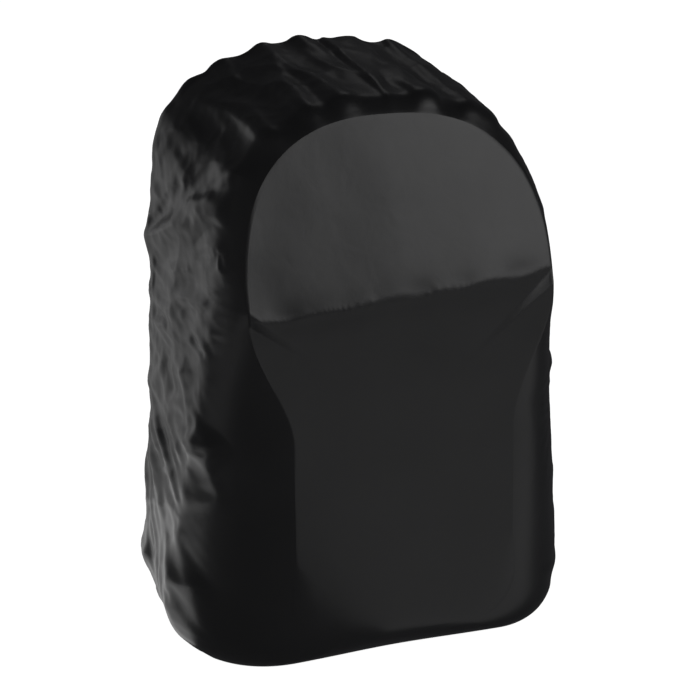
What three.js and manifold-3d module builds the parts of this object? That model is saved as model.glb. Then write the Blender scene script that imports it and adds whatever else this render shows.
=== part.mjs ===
// An upright tail bag, standing on its base inside its stretch-on rain cover.
// Millimetres, +Z up, front towards -Y, +X to the right as seen from the front.
// The origin is on the floor, in the middle of the flat base.
import * as THREE from 'three';
import { mergeVertices } from 'three/addons/utils/BufferGeometryUtils.js';
import Module from 'manifold-3d';

const wasm = await Module();
wasm.setup();

// ---- driving dimensions of the covered bag -------------------------------------------------
const HEIGHT = 510;
const BASE_HALF = 169;
const SHOULDER_HALF = 158;
const FRONT_BASE_HALF = 186;
const FRONT_SHOULDER_HALF = 149;
const ARCH_HEIGHT = 152;
const ARCH_POWER = 2.5;
const CORNER_RADIUS = 58;
const FRONT_CORNER_RADIUS = 52;
const TIGHTEST_CORNER = 12;
const BACK_Y = 105;
const BASE_DEPTH = 214;
const LEDGE_DEPTH = 203;
const LEDGE_Z = 322;
const TOP_DEPTH = 164;
const TOP_Z = 470;
const TOP_DROP = 35;
const BASE_FILLET = 100;
const TOP_FILLET = 15;
const PLATE_FLOOR = 30;
const PLATE_TOP = 12;
const PLATE_BASE_HALF = 98;
const PLATE_SHOULDER_HALF = 134;
const FLARE_LOW = 205;
const FLARE_HIGH = 318;
const LOW_CHAMFER = 0.15;
const HIGH_CHAMFER = 0.7;
const CHAMFER_LOW_Z = 220;
const CHAMFER_HIGH_Z = 340;

// Layers: the cover is a thin skin, and the bag stands inside it with a slack gap.
const GAP = 0.3;
const COVER_THICK = 1.6;
const BAG_INSET = 9;
const BAG_THICK = 2.5;
const BAG_FRONT_HALF = 166;
const SEAM_GAP = 0.003;

// The bag inside the cover.
const PANEL_Y = 91;
const PANEL_THICK = 4;
const SHELL_EDGE_Y = -26;
const PLANE_Y = -66;
const PLANE_SLOPE = 0.037;
const SHELL_FILLET_BASE = 40;
const SHELL_FILLET_TOP = 14;

const group = new THREE.Group();

// ---- materials -----------------------------------------------------------------------------
function finish(color, roughness, metalness = 0) {
  return new THREE.MeshStandardMaterial({ color, roughness, metalness });
}
const coatedNylon = finish(0x2b2b2d, 0.4);
const packCloth = finish(0x1d1d20, 0.85);
const meshFoam = finish(0x242428, 0.95);
const webbing = finish(0x151517, 0.8);
const plastic = finish(0x101012, 0.45);
const steel = finish(0x5c5e62, 0.35, 1);
const rubber = finish(0x18181a, 0.7);
const lining = finish(0x55585c, 0.8);

function add(name, geometry, material, parent = group) {
  const mesh = new THREE.Mesh(geometry, material);
  mesh.name = name;
  parent.add(mesh);
  return mesh;
}

// ---- small geometry helpers ----------------------------------------------------------------
function lerp(a, b, t) {
  return a + (b - a) * t;
}

function smooth(t) {
  const u = Math.min(1, Math.max(0, t));
  return u * u * (3 - 2 * u);
}

function ramp(x, x0, y0, x1, y1) {
  return lerp(y0, y1, Math.min(1, Math.max(0, (x - x0) / (x1 - x0))));
}

// Closed body from points and triangles, turned so that its faces point outwards.
function solid(points, triangles) {
  let volume = 0;
  for (const [a, b, c] of triangles) volume += points[a].dot(points[b].clone().cross(points[c]));
  const turned = volume < 0 ? triangles.map(([a, b, c]) => [a, c, b]) : triangles;
  const geometry = new THREE.BufferGeometry();
  geometry.setAttribute('position', new THREE.Float32BufferAttribute(points.flatMap((p) => p.toArray()), 3));
  geometry.setIndex(turned.flat());
  geometry.computeVertexNormals();
  return geometry;
}

// Body swept through cross sections that all have the same number of points. The sweep closes
// on itself, or its two ends are capped by strips between opposite points of the section.
function loft(sections, closed) {
  const count = sections[0].length;
  const points = sections.flat();
  const triangles = [];
  const last = closed ? sections.length : sections.length - 1;
  for (let i = 0; i < last; i++) {
    const here = i * count;
    const next = ((i + 1) % sections.length) * count;
    for (let j = 0; j < count; j++) {
      const k = (j + 1) % count;
      triangles.push([here + j, next + j, next + k], [here + j, next + k, here + k]);
    }
  }
  if (!closed) {
    for (const [start, flip] of [[0, false], [(sections.length - 1) * count, true]]) {
      for (let j = 0; j < count / 2 - 1; j++) {
        const quad = [start + j, start + j + 1, start + count - 2 - j, start + count - 1 - j];
        const [a, b, c, d] = flip ? quad.reverse() : quad;
        triangles.push([a, b, c], [a, c, d]);
      }
    }
  }
  return solid(points, triangles);
}

// Dish from nested rings: the outer skin from rim to centre, the inner skin back to the rim.
function dish(outerRings, innerRings, outerCentre, innerCentre) {
  const rings = [...innerRings].reverse().concat(outerRings);
  const count = rings[0].length;
  const points = rings.flat();
  const triangles = [];
  for (let i = 0; i < rings.length - 1; i++) {
    for (let j = 0; j < count; j++) {
      const k = (j + 1) % count;
      const a = i * count + j;
      const b = i * count + k;
      triangles.push([a, a + count, b + count], [a, b + count, b]);
    }
  }
  const innerTip = points.push(innerCentre) - 1;
  const outerTip = points.push(outerCentre) - 1;
  const top = (rings.length - 1) * count;
  for (let j = 0; j < count; j++) {
    const k = (j + 1) % count;
    triangles.push([innerTip, j, k], [outerTip, top + k, top + j]);
  }
  return solid(points, triangles);
}

function toManifold(geometry) {
  const plain = geometry.clone();
  plain.deleteAttribute('normal');
  plain.deleteAttribute('uv');
  const merged = mergeVertices(plain, 1e-4);
  return new wasm.Manifold(new wasm.Mesh({
    numProp: 3,
    vertProperties: new Float32Array(merged.attributes.position.array),
    triVerts: new Uint32Array(merged.index.array),
  }));
}

function fromManifold(body) {
  const mesh = body.getMesh();
  const geometry = new THREE.BufferGeometry();
  geometry.setAttribute('position', new THREE.BufferAttribute(mesh.vertProperties, 3));
  geometry.setIndex(new THREE.BufferAttribute(mesh.triVerts, 1));
  geometry.computeVertexNormals();
  return geometry;
}

// Flat piece of a given outline, standing upright: the outline lies in X and Z, and the
// thickness goes towards -Y.
function plate(shape, thickness, y, curveSegments = 8) {
  const geometry = new THREE.ExtrudeGeometry(shape, { depth: thickness, bevelEnabled: false, curveSegments });
  return geometry.rotateX(Math.PI / 2).translate(0, y, 0);
}

function roundedRectangle(width, height, radius, x = 0, z = 0) {
  const shape = new THREE.Shape();
  const w = width / 2 - radius;
  const h = height / 2 - radius;
  shape.absarc(x + w, z + h, radius, 0, Math.PI / 2);
  shape.absarc(x - w, z + h, radius, Math.PI / 2, Math.PI);
  shape.absarc(x - w, z - h, radius, Math.PI, 1.5 * Math.PI);
  shape.absarc(x + w, z - h, radius, 1.5 * Math.PI, 2 * Math.PI);
  shape.closePath();
  return shape;
}

// ---- the form of the covered bag -----------------------------------------------------------
const BOTTOM_STEPS = 3;
const CORNER_STEPS = 5;
const SIDE_STEPS = 7;
const ARCH_STEPS = 13;

// Closed outline of the bag seen from the front, from the middle of the base round to the
// right, over the arch and back down the left side.
function outline(baseHalf, shoulderHalf, floor, top, arch, corner) {
  const right = [];
  for (let i = 0; i < BOTTOM_STEPS; i++) {
    right.push([((baseHalf - corner) * i) / BOTTOM_STEPS, floor]);
  }
  for (let i = 0; i <= CORNER_STEPS; i++) {
    const turn = (Math.PI / 2) * (i / CORNER_STEPS);
    right.push([baseHalf - corner * (1 - Math.sin(turn)), floor + corner * (1 - Math.cos(turn))]);
  }
  for (let i = 1; i < SIDE_STEPS; i++) {
    const t = i / SIDE_STEPS;
    right.push([lerp(baseHalf, shoulderHalf, t), lerp(floor + corner, top - arch, t)]);
  }
  for (let i = 0; i <= ARCH_STEPS; i++) {
    const turn = (Math.PI / 2) * (i / ARCH_STEPS);
    const across = Math.max(0, Math.cos(turn)) ** (2 / ARCH_POWER);
    const up = Math.sin(turn) ** (2 / ARCH_POWER);
    right.push([i === ARCH_STEPS ? 0 : shoulderHalf * across, top - arch + arch * up]);
  }
  const left = right.slice(1, -1).reverse().map(([x, z]) => [-x, z]);
  return right.concat(left);
}

function backRing(inset) {
  return outline(
    BASE_HALF - inset, SHOULDER_HALF - inset, inset, HEIGHT - inset, ARCH_HEIGHT - inset,
    Math.max(CORNER_RADIUS - inset, TIGHTEST_CORNER),
  );
}

function frontRing(inset) {
  return outline(
    FRONT_BASE_HALF - inset, FRONT_SHOULDER_HALF - inset, inset,
    HEIGHT - TOP_DROP - inset, ARCH_HEIGHT - inset, Math.max(FRONT_CORNER_RADIUS - inset, TIGHTEST_CORNER),
  );
}

// Edge of the flat front: narrow over the pocket, flaring to the full width of the shoulders.
function plateRing() {
  const ring = outline(
    PLATE_BASE_HALF, PLATE_BASE_HALF, PLATE_FLOOR, HEIGHT - TOP_DROP - PLATE_TOP,
    ARCH_HEIGHT - PLATE_TOP, FRONT_CORNER_RADIUS - 6,
  );
  return ring.map(([x, z]) => {
    const widening = smooth((z - FLARE_LOW) / (FLARE_HIGH - FLARE_LOW));
    return [x * lerp(1, PLATE_SHOULDER_HALF / PLATE_BASE_HALF, widening), z];
  });
}

function frontY(z) {
  const depth = z < LEDGE_Z
    ? ramp(z, 0, BASE_DEPTH, LEDGE_Z, LEDGE_DEPTH)
    : ramp(z, LEDGE_Z, LEDGE_DEPTH, TOP_Z, TOP_DEPTH);
  return BACK_Y - depth;
}

// Where the straight side ends and the rounding towards the front begins, at a height.
function sideEndY(z) {
  return frontY(z) + ramp(z, 0, BASE_FILLET, TOP_Z, TOP_FILLET);
}

// Ring of points on the side of the bag at one depth, a given distance under the surface.
function sideRing(y, inset) {
  const back = backRing(inset);
  const front = frontRing(inset);
  return back.map(([x, z], i) => {
    const [fx, fz] = front[i];
    const t = (BACK_Y - y) / (BACK_Y - sideEndY(fz));
    return new THREE.Vector3(lerp(x, fx, t), y, lerp(z, fz, t));
  });
}

// Ring of points on the bag inside: its sides are straight, so that the cover slides off it.
function bagRing(y, inset) {
  const back = backRing(inset);
  const front = outline(
    BAG_FRONT_HALF - inset, FRONT_SHOULDER_HALF - inset, inset, HEIGHT - TOP_DROP - inset,
    ARCH_HEIGHT - inset, Math.max(CORNER_RADIUS - inset, TIGHTEST_CORNER),
  );
  return back.map(([x, z], i) => {
    const [fx, fz] = front[i];
    const t = Math.min(1, (BACK_Y - y) / (BACK_Y - sideEndY(fz)));
    return new THREE.Vector3(lerp(x, fx, t), y, lerp(z, fz, t));
  });
}

// Ring of points on the broken edge between the side and the front: angle 0 is where the side
// ends, and a right angle is the edge of the flat front. It is round along the base, and close
// to a flat chamfer on the sides and the top.
const RIGHT_ANGLE = Math.PI / 2;

function edgeRing(angle, inset) {
  const front = frontRing(inset);
  const inner = plateRing();
  return front.map(([x, z], i) => {
    const [px, pz] = inner[i];
    const upper = smooth((z - CHAMFER_LOW_Z) / (CHAMFER_HIGH_Z - CHAMFER_LOW_Z));
    const flat = lerp(LOW_CHAMFER, HIGH_CHAMFER, upper) * smooth(z / FRONT_CORNER_RADIUS);
    const inward = lerp(1 - Math.cos(angle), angle / RIGHT_ANGLE, flat);
    const forward = lerp(Math.sin(angle), angle / RIGHT_ANGLE, flat);
    const y = lerp(sideEndY(z), frontY(pz) + inset, forward);
    return new THREE.Vector3(lerp(x, px, inward), y, lerp(z, pz, inward));
  });
}

// Ring of points on the flat front: the edge drawn in towards the middle of the ledge.
function frontFaceRing(scale, inset) {
  return edgeRing(RIGHT_ANGLE, inset).map((p) => {
    const z = lerp(LEDGE_Z, p.z, scale);
    return new THREE.Vector3(p.x * scale, frontY(z) + inset, z);
  });
}

// ---- rain cover ----------------------------------------------------------------------------
const HEM_START_Y = 92;
const HEM_LIP = 46;
const ELASTIC_RADIUS = 1.7;
const TAPE_LIFT = 2;

// The band of cloth round the sides, the top and the bottom, up to the front seam.
function coverGusset() {
  const rings = (inset) => [
    ...[HEM_START_Y - GAP, 45, 0].map((y) => sideRing(y, inset)),
    ...[0, 0.3, 0.65, 1, 1.3, RIGHT_ANGLE].map((angle) => edgeRing(angle, inset)),
  ];
  const outer = rings(0);
  const inner = rings(COVER_THICK).reverse();
  const around = outer.concat(inner);
  return loft(around[0].map((_, i) => around.map((ring) => ring[i])), true);
}

// The front panel: a shallow dish that starts at the seam, with a ledge half way up where the
// pocket under it ends.
function coverFront() {
  const scales = [1 - SEAM_GAP, 0.7, 0.35];
  const rings = (inset) => scales.map((scale) => frontFaceRing(scale, inset));
  const tip = (inset) => new THREE.Vector3(0, frontY(LEDGE_Z) + inset, LEDGE_Z);
  return dish(rings(0), rings(COVER_THICK), tip(0), tip(COVER_THICK));
}

// Tape welded over the inside of the seam between the front panel and the band.
function coverSeamTape() {
  const strip = (inset) => [edgeRing(1.45, inset), edgeRing(RIGHT_ANGLE, inset), frontFaceRing(0.95, inset)];
  const outer = strip(COVER_THICK + TAPE_LIFT);
  const inner = strip(COVER_THICK + TAPE_LIFT + 1).reverse();
  const around = outer.concat(inner);
  return loft(around[0].map((_, i) => around.map((ring) => ring[i])), true);
}

// The hem wraps round the back edge of the bag and ends in an open channel for the elastic.
function coverHem() {
  const wall = 1.5;
  const section = [
    [GAP, HEM_START_Y], [GAP, BACK_Y], [HEM_LIP, BACK_Y], [HEM_LIP, BACK_Y - 8],
    [HEM_LIP - 8, BACK_Y - 8], [HEM_LIP - 8, BACK_Y - 8 + wall], [HEM_LIP - wall, BACK_Y - 8 + wall],
    [HEM_LIP - wall, BACK_Y - wall], [GAP + wall, BACK_Y - wall], [GAP + wall, HEM_START_Y],
  ];
  const rings = section.map(([inset, y]) => backRing(inset).map(([x, z]) => new THREE.Vector3(x, y, z)));
  return loft(rings[0].map((_, i) => rings.map((ring) => ring[i])), true);
}

function coverHemElastic() {
  const sides = 6;
  const centreInset = HEM_LIP - 5;
  const centreY = BACK_Y - 4;
  const rings = [];
  for (let j = 0; j < sides; j++) {
    const turn = (2 * Math.PI * j) / sides;
    const ring = backRing(centreInset + ELASTIC_RADIUS * Math.cos(turn));
    rings.push(ring.map(([x, z]) => new THREE.Vector3(x, centreY + ELASTIC_RADIUS * Math.sin(turn), z)));
  }
  return loft(rings[0].map((_, i) => rings.map((ring) => ring[i])), true);
}

add('cover_gusset', coverGusset(), coatedNylon);
add('cover_front', coverFront(), coatedNylon);
add('cover_seam_tape', coverSeamTape(), lining);
add('cover_hem', coverHem(), coatedNylon);
add('cover_hem_elastic', coverHemElastic(), rubber);

// ---- bag body ------------------------------------------------------------------------------
// Band round the bag from the back panel to the front shell.
function sideGusset() {
  const depths = [PANEL_Y - PANEL_THICK - GAP, 40, SHELL_EDGE_Y];
  const outer = depths.map((y) => bagRing(y, BAG_INSET));
  const inner = [...depths].reverse().map((y) => bagRing(y, BAG_INSET + BAG_THICK));
  const around = outer.concat(inner);
  return loft(around[0].map((_, i) => around.map((ring) => ring[i])), true);
}

function planeY(z) {
  return PLANE_Y + PLANE_SLOPE * z;
}

// The front shell as one dish with a flat, slightly leaning front.
function wholeShell() {
  const rings = (thickness) => {
    const near = (y) => bagRing(y, BAG_INSET + thickness);
    const far = (y) => bagRing(y, BAG_INSET + thickness + SHELL_FILLET_BASE);
    const fillet = (z) => ramp(z, 0, SHELL_FILLET_BASE, TOP_Z, SHELL_FILLET_TOP);
    const rounded = (angle) => near(SHELL_EDGE_Y).map((edge, i) => {
      const radius = fillet(edge.z);
      const startY = planeY(edge.z) + radius;
      const inward = far(SHELL_EDGE_Y)[i];
      const t = (radius / SHELL_FILLET_BASE) * (1 - Math.cos(angle));
      const x = lerp(edge.x, inward.x, t);
      const z = lerp(edge.z, inward.z, t);
      return new THREE.Vector3(x, lerp(startY, planeY(z) + thickness, Math.sin(angle)), z);
    });
    return [near(SHELL_EDGE_Y - GAP), ...[0, 0.55, 1.1, Math.PI / 2].map(rounded)];
  };
  const tip = (thickness) => new THREE.Vector3(0, planeY(230) + thickness, 230);
  return dish(rings(0), rings(BAG_THICK), tip(0), tip(BAG_THICK));
}

// The frame of the leaning front: its Z runs up the front, and -Y points away from it.
const front = new THREE.Group();
front.position.set(0, PLANE_Y, 0);
front.rotation.x = -Math.atan(PLANE_SLOPE);
front.updateMatrixWorld();
group.add(front);

const ARC_Z = 318;
const ARC_RADIUS = 104;
const CHAIN_WIDTH = 6;
const SLOT_WIDTH = CHAIN_WIDTH + 2 * GAP;
const TAPE_WIDTH = 12;
const TAPE_THICK = 0.8;
const CHAIN_THICK = 2.4;

// Half-moon outline: the arch of the opening, closed by its straight lower edge.
function halfMoon(radius) {
  const shape = new THREE.Shape();
  shape.absarc(0, ARC_Z, radius, 0, Math.PI);
  shape.closePath();
  return shape;
}

function arcBand(innerRadius, outerRadius) {
  const shape = new THREE.Shape();
  shape.absarc(0, ARC_Z, outerRadius, 0, Math.PI);
  shape.absarc(0, ARC_Z, innerRadius, Math.PI, 0, true);
  shape.closePath();
  return shape;
}

// The shell is cut along the zip line, so that the half-moon flap is a panel of its own.
function cutShell() {
  const whole = toManifold(wholeShell());
  const prism = (radius, lower) => {
    const geometry = plate(halfMoon(radius), 30, 15, 24).translate(0, 0, lower);
    return toManifold(geometry.applyMatrix4(front.matrixWorld));
  };
  const hole = prism(ARC_RADIUS + SLOT_WIDTH / 2, 0);
  const flap = prism(ARC_RADIUS - SLOT_WIDTH / 2, GAP * 2);
  return [fromManifold(whole.subtract(hole)), fromManifold(whole.intersect(flap))];
}
const [shellGeometry, flapGeometry] = cutShell();

add('side_gusset', sideGusset(), packCloth);
add('front_shell', shellGeometry, packCloth);
add('opening_flap', flapGeometry, packCloth);

// Tough tray under the bag, up round the two lower corners.
function baseBoot() {
  const bootTop = 66;
  const depths = [PANEL_Y - PANEL_THICK - GAP, 30, SHELL_EDGE_Y];
  const outer = depths.map((y) => bagRing(y, BAG_INSET - 3.5));
  const inner = depths.map((y) => bagRing(y, BAG_INSET - GAP));
  const count = outer[0].length;
  const inBoot = (i) => outer[0][i].z < bootTop;
  const order = [...Array(count).keys()].map((i) => (i + count / 2) % count).filter(inBoot);
  return loft(order.map((i) => [...outer.map((r) => r[i]), ...[...inner].reverse().map((r) => r[i])]), false);
}
add('base_boot', baseBoot(), rubber);

// ---- front pocket --------------------------------------------------------------------------
const POCKET_HALF = 112;
const POCKET_LOW = 46;
const POCKET_HIGH = 284;
const POCKET_CORNER = 44;
const POCKET_FILLET = 24;
const POCKET_FRONT_Y = -99;
const POCKET_SLOPE = 0.038;

function pocketY(z) {
  return POCKET_FRONT_Y + POCKET_SLOPE * z;
}

function frontPocket() {
  const steps = 5;
  const ring = (inset) => {
    const radius = POCKET_CORNER - inset;
    const points = [];
    const corners = [[1, 1, 0], [-1, 1, 1], [-1, -1, 2], [1, -1, 3]];
    const middle = (POCKET_LOW + POCKET_HIGH) / 2;
    const halfHeight = (POCKET_HIGH - POCKET_LOW) / 2;
    for (const [sx, sz, quarter] of corners) {
      for (let i = 0; i <= steps; i++) {
        const turn = (Math.PI / 2) * (quarter + i / steps);
        points.push([
          sx * (POCKET_HALF - POCKET_CORNER) + radius * Math.cos(turn),
          middle + sz * (halfHeight - POCKET_CORNER) + radius * Math.sin(turn),
        ]);
      }
    }
    return points;
  };
  const rings = (thickness) => {
    const rim = ring(thickness).map(([x, z]) => new THREE.Vector3(x, planeY(z) - GAP, z));
    const rounded = [0, 0.6, 1.1, Math.PI / 2].map((angle) => {
      const inset = thickness + (POCKET_FILLET - thickness) * (1 - Math.cos(angle));
      return ring(inset).map(([x, z]) => {
        const y = pocketY(z) + thickness + (POCKET_FILLET - thickness) * (1 - Math.sin(angle));
        return new THREE.Vector3(x, Math.min(y, planeY(z) - GAP - 1), z);
      });
    });
    return [rim, ...rounded];
  };
  const middleZ = (POCKET_LOW + POCKET_HIGH) / 2;
  const tip = (thickness) => new THREE.Vector3(0, pocketY(middleZ) + thickness, middleZ);
  return dish(rings(0), rings(BAG_THICK - 0.5), tip(0), tip(BAG_THICK - 0.5));
}
add('front_pocket', frontPocket(), packCloth);

// ---- zips ----------------------------------------------------------------------------------
const SLIDER_WIDTH = 10;
const SLIDER_LENGTH = 13;
const SLIDER_HEIGHT = 4.2;
const BRIDGE_HEIGHT = 3.4;
const PULL_WIDTH = 9.4;
const PULL_LENGTH = 26;
const PULL_THICK = 1.4;
const EYE_HALF = 3.1;
const SLIDER_PLAY = 0.7;

// Slider that rides over the chain: a channel with a bridge on top for the pull. It is made
// at the origin with the chain along Z and the free side towards -Y.
function slider() {
  const wall = (SLIDER_WIDTH - CHAIN_WIDTH) / 2 - SLIDER_PLAY;
  const roof = TAPE_THICK + GAP;
  const half = SLIDER_WIDTH / 2;
  const channel = new THREE.Shape();
  channel.moveTo(-half, -roof);
  channel.lineTo(-half + wall, -roof);
  channel.lineTo(-half + wall, -(CHAIN_THICK + GAP));
  channel.lineTo(half - wall, -(CHAIN_THICK + GAP));
  channel.lineTo(half - wall, -roof);
  channel.lineTo(half, -roof);
  channel.lineTo(half, -SLIDER_HEIGHT + 1);
  channel.lineTo(half - 1.4, -SLIDER_HEIGHT);
  channel.lineTo(-half + 1.4, -SLIDER_HEIGHT);
  channel.lineTo(-half, -SLIDER_HEIGHT + 1);
  channel.closePath();
  const body = new THREE.ExtrudeGeometry(channel, { depth: SLIDER_LENGTH, bevelEnabled: false });
  body.translate(0, 0, -SLIDER_LENGTH / 2);
  const bridge = new THREE.Shape();
  bridge.moveTo(-5, -SLIDER_HEIGHT + 0.5);
  bridge.lineTo(-4.4, -SLIDER_HEIGHT - BRIDGE_HEIGHT);
  bridge.lineTo(4.4, -SLIDER_HEIGHT - BRIDGE_HEIGHT);
  bridge.lineTo(5, -SLIDER_HEIGHT + 0.5);
  bridge.closePath();
  const gap = new THREE.Path();
  gap.moveTo(-3.4, -SLIDER_HEIGHT - 0.2);
  gap.lineTo(3.4, -SLIDER_HEIGHT - 0.2);
  gap.lineTo(3.2, -SLIDER_HEIGHT - BRIDGE_HEIGHT + 1);
  gap.lineTo(-3.2, -SLIDER_HEIGHT - BRIDGE_HEIGHT + 1);
  gap.closePath();
  bridge.holes.push(gap);
  const arch = new THREE.ExtrudeGeometry(bridge, { depth: 2, bevelEnabled: false });
  arch.rotateY(Math.PI / 2).translate(-1, 0, 0);
  return fromManifold(toManifold(body).add(toManifold(arch)));
}

// Pull tab with an eye round the bridge, hanging down from the origin.
function pull() {
  const shape = roundedRectangle(PULL_WIDTH, PULL_LENGTH, 2.4, 0, -PULL_LENGTH / 2 + 1);
  const eye = new THREE.Path();
  eye.moveTo(-EYE_HALF, -0.6);
  eye.lineTo(EYE_HALF, -0.6);
  eye.lineTo(EYE_HALF, -6.4);
  eye.lineTo(-EYE_HALF, -6.4);
  eye.closePath();
  shape.holes.push(eye);
  return plate(shape, PULL_THICK, -SLIDER_HEIGHT - 0.5, 4);
}

const tapeLift = -GAP;

// Main zip: two tapes and a chain along the half-moon, all lying on the leaning front.
const inner = [ARC_RADIUS - SLOT_WIDTH / 2 - TAPE_WIDTH, ARC_RADIUS - SLOT_WIDTH / 2];
const outer = [ARC_RADIUS + SLOT_WIDTH / 2, ARC_RADIUS + SLOT_WIDTH / 2 + TAPE_WIDTH];
add('main_zip_tape_inner', plate(arcBand(...inner), TAPE_THICK, tapeLift, 24), webbing, front);
add('main_zip_tape_outer', plate(arcBand(...outer), TAPE_THICK, tapeLift, 24), webbing, front);
const chainBand = arcBand(ARC_RADIUS - CHAIN_WIDTH / 2, ARC_RADIUS + CHAIN_WIDTH / 2);
add('main_zip_chain', plate(chainBand, CHAIN_THICK, tapeLift, 24), plastic, front);

const SLIDER_REST = THREE.MathUtils.degToRad(6);
const mainSlider = new THREE.Group();
mainSlider.position.set(ARC_RADIUS * Math.cos(SLIDER_REST), tapeLift, ARC_Z + ARC_RADIUS * Math.sin(SLIDER_REST));
mainSlider.rotation.y = -SLIDER_REST;
front.add(mainSlider);
add('main_slider', slider(), plastic, mainSlider);
add('main_pull', pull(), plastic, mainSlider);

// Pocket zip: straight across the upper part of the pocket.
const POCKET_ZIP_Z = 236;
const POCKET_ZIP_LENGTH = 160;
const pocketFace = new THREE.Group();
pocketFace.position.set(0, POCKET_FRONT_Y - GAP, 0);
pocketFace.rotation.x = -Math.atan(POCKET_SLOPE);
group.add(pocketFace);
for (const [name, side] of [['pocket_zip_tape_lower', -1], ['pocket_zip_tape_upper', 1]]) {
  const z = POCKET_ZIP_Z + side * (SLOT_WIDTH / 2 + TAPE_WIDTH / 2);
  add(name, plate(roundedRectangle(POCKET_ZIP_LENGTH, TAPE_WIDTH, 2, 0, z), TAPE_THICK, 0, 3), webbing, pocketFace);
}
const pocketChain = roundedRectangle(POCKET_ZIP_LENGTH - 6, CHAIN_WIDTH, 1, 0, POCKET_ZIP_Z);
add('pocket_zip_chain', plate(pocketChain, CHAIN_THICK, 0, 3), plastic, pocketFace);
const pocketSlider = new THREE.Group();
pocketSlider.position.set(-POCKET_ZIP_LENGTH / 2 + 12, 0, POCKET_ZIP_Z);
pocketSlider.rotation.y = -Math.PI / 2;
pocketFace.add(pocketSlider);
add('pocket_slider', slider(), plastic, pocketSlider);
add('pocket_pull', pull(), plastic, pocketSlider);

// ---- back of the bag -----------------------------------------------------------------------
function backShape(inset) {
  const shape = new THREE.Shape();
  shape.setFromPoints(bagRing(PANEL_Y, inset).map((p) => new THREE.Vector2(p.x, p.z)));
  return shape;
}
add('back_panel', plate(backShape(BAG_INSET), PANEL_THICK, PANEL_Y), packCloth);
add('frame_sheet', plate(backShape(BAG_INSET + 18), 1.6, PANEL_Y - PANEL_THICK - 2), plastic);
add('divider_sleeve', plate(roundedRectangle(250, 300, 20, 0, 176), 6, 77), lining);

// Foam pad with chamfered edges, standing proud of the back panel.
function pad(width, height, radius, thickness, x, z) {
  const bevel = 4;
  const shape = roundedRectangle(width - 2 * bevel, height - 2 * bevel, radius, x, z);
  const geometry = new THREE.ExtrudeGeometry(shape, {
    depth: thickness - 2 * bevel, bevelThickness: bevel, bevelSize: bevel, bevelSegments: 2, curveSegments: 4,
  });
  return geometry.rotateX(Math.PI / 2).translate(0, PANEL_Y + GAP + thickness - bevel, 0);
}
const PAD_THICK = 13;
add('back_pad_left', pad(68, 216, 22, PAD_THICK, -46, 260), meshFoam);
add('back_pad_right', pad(68, 216, 22, PAD_THICK, 46, 260), meshFoam);
add('lumbar_pad', pad(158, 46, 16, PAD_THICK, 0, 122), meshFoam);

// Flat strap along a route, with a rounded section. Each stop is [x, y, z, width].
function strap(stops, thickness, segments) {
  const route = new THREE.CatmullRomCurve3(stops.map(([x, y, z]) => new THREE.Vector3(x, y, z)));
  const sections = [];
  for (let i = 0; i <= segments; i++) {
    const u = i / segments;
    const point = route.getPoint(u);
    const along = route.getTangent(u);
    const across = new THREE.Vector3(along.z, 0, -along.x).normalize();
    const normal = new THREE.Vector3().crossVectors(across, along).normalize();
    const stop = u * (stops.length - 1);
    const index = Math.min(stops.length - 2, Math.floor(stop));
    const half = lerp(stops[index][3], stops[index + 1][3], stop - index) / 2;
    const edge = Math.min(half, thickness) / 2;
    const section = [
      [-half, -thickness / 2 + edge / 2], [-half + edge, -thickness / 2], [half - edge, -thickness / 2],
      [half, -thickness / 2 + edge / 2], [half, thickness / 2 - edge / 2], [half - edge, thickness / 2],
      [-half + edge, thickness / 2], [-half, thickness / 2 - edge / 2],
    ];
    sections.push(section.map(([a, b]) => point.clone().addScaledVector(across, a).addScaledVector(normal, b)));
  }
  return loft(sections, false);
}

const YOKE_Z = 396;
const STRAP_Y = PANEL_Y + GAP + PAD_THICK + 7;
const YOKE_THICK = 6;
const SLOT_HALF = 12.6;
const SLOT_RISE = 1.9;
add('strap_yoke', plate(roundedRectangle(132, 20, 5, 0, YOKE_Z), YOKE_THICK, PANEL_Y + GAP + YOKE_THICK), packCloth);

for (const [name, side] of [['left', -1], ['right', 1]]) {
  const stops = [
    [side * 34, STRAP_Y - 8, 404, 46], [side * 35, STRAP_Y - 5, 387, 50], [side * 37, STRAP_Y, 366, 54],
    [side * 45, STRAP_Y, 330, 56], [side * 56, STRAP_Y, 292, 54], [side * 67, STRAP_Y, 254, 46],
    [side * 75, STRAP_Y, 222, 34],
  ];
  add(`shoulder_strap_${name}`, strap(stops, 10, 12), meshFoam);

  const tail = [
    [side * 79, STRAP_Y - 3, 208, 24], [side * 88, STRAP_Y - 4.5, 176, 24], [side * 95, STRAP_Y - 9, 140, 24],
    [side * 96, PANEL_Y + 6.5, 102, 24], [side * 96, PANEL_Y + 4.3, 84, 24], [side * 96, PANEL_Y + 4.3, 70, 24],
  ];
  add(`strap_webbing_${name}`, strap(tail, 1.8, 10), webbing);

  const wing = new THREE.Shape();
  wing.moveTo(side * 80, 84);
  wing.lineTo(side * 110, 84);
  wing.lineTo(side * 110, 62);
  wing.lineTo(side * 86, 62);
  wing.closePath();
  add(`webbing_anchor_${name}`, plate(wing, 2.4, PANEL_Y + GAP + 2.4), webbing);

  const buckle = roundedRectangle(32, 27, 3);
  for (const z of [-5.6, 5.6]) {
    const slot = new THREE.Path();
    slot.moveTo(-SLOT_HALF, z - SLOT_RISE);
    slot.lineTo(SLOT_HALF, z - SLOT_RISE);
    slot.lineTo(SLOT_HALF, z + SLOT_RISE);
    slot.lineTo(-SLOT_HALF, z + SLOT_RISE);
    slot.closePath();
    buckle.holes.push(slot);
  }
  const lock = new THREE.Group();
  lock.position.set(side * 79, STRAP_Y, 205);
  lock.rotation.y = side * THREE.MathUtils.degToRad(-14);
  group.add(lock);
  add(`ladder_lock_${name}`, plate(buckle, 3.6, 1.8, 4), plastic, lock);
}

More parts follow.
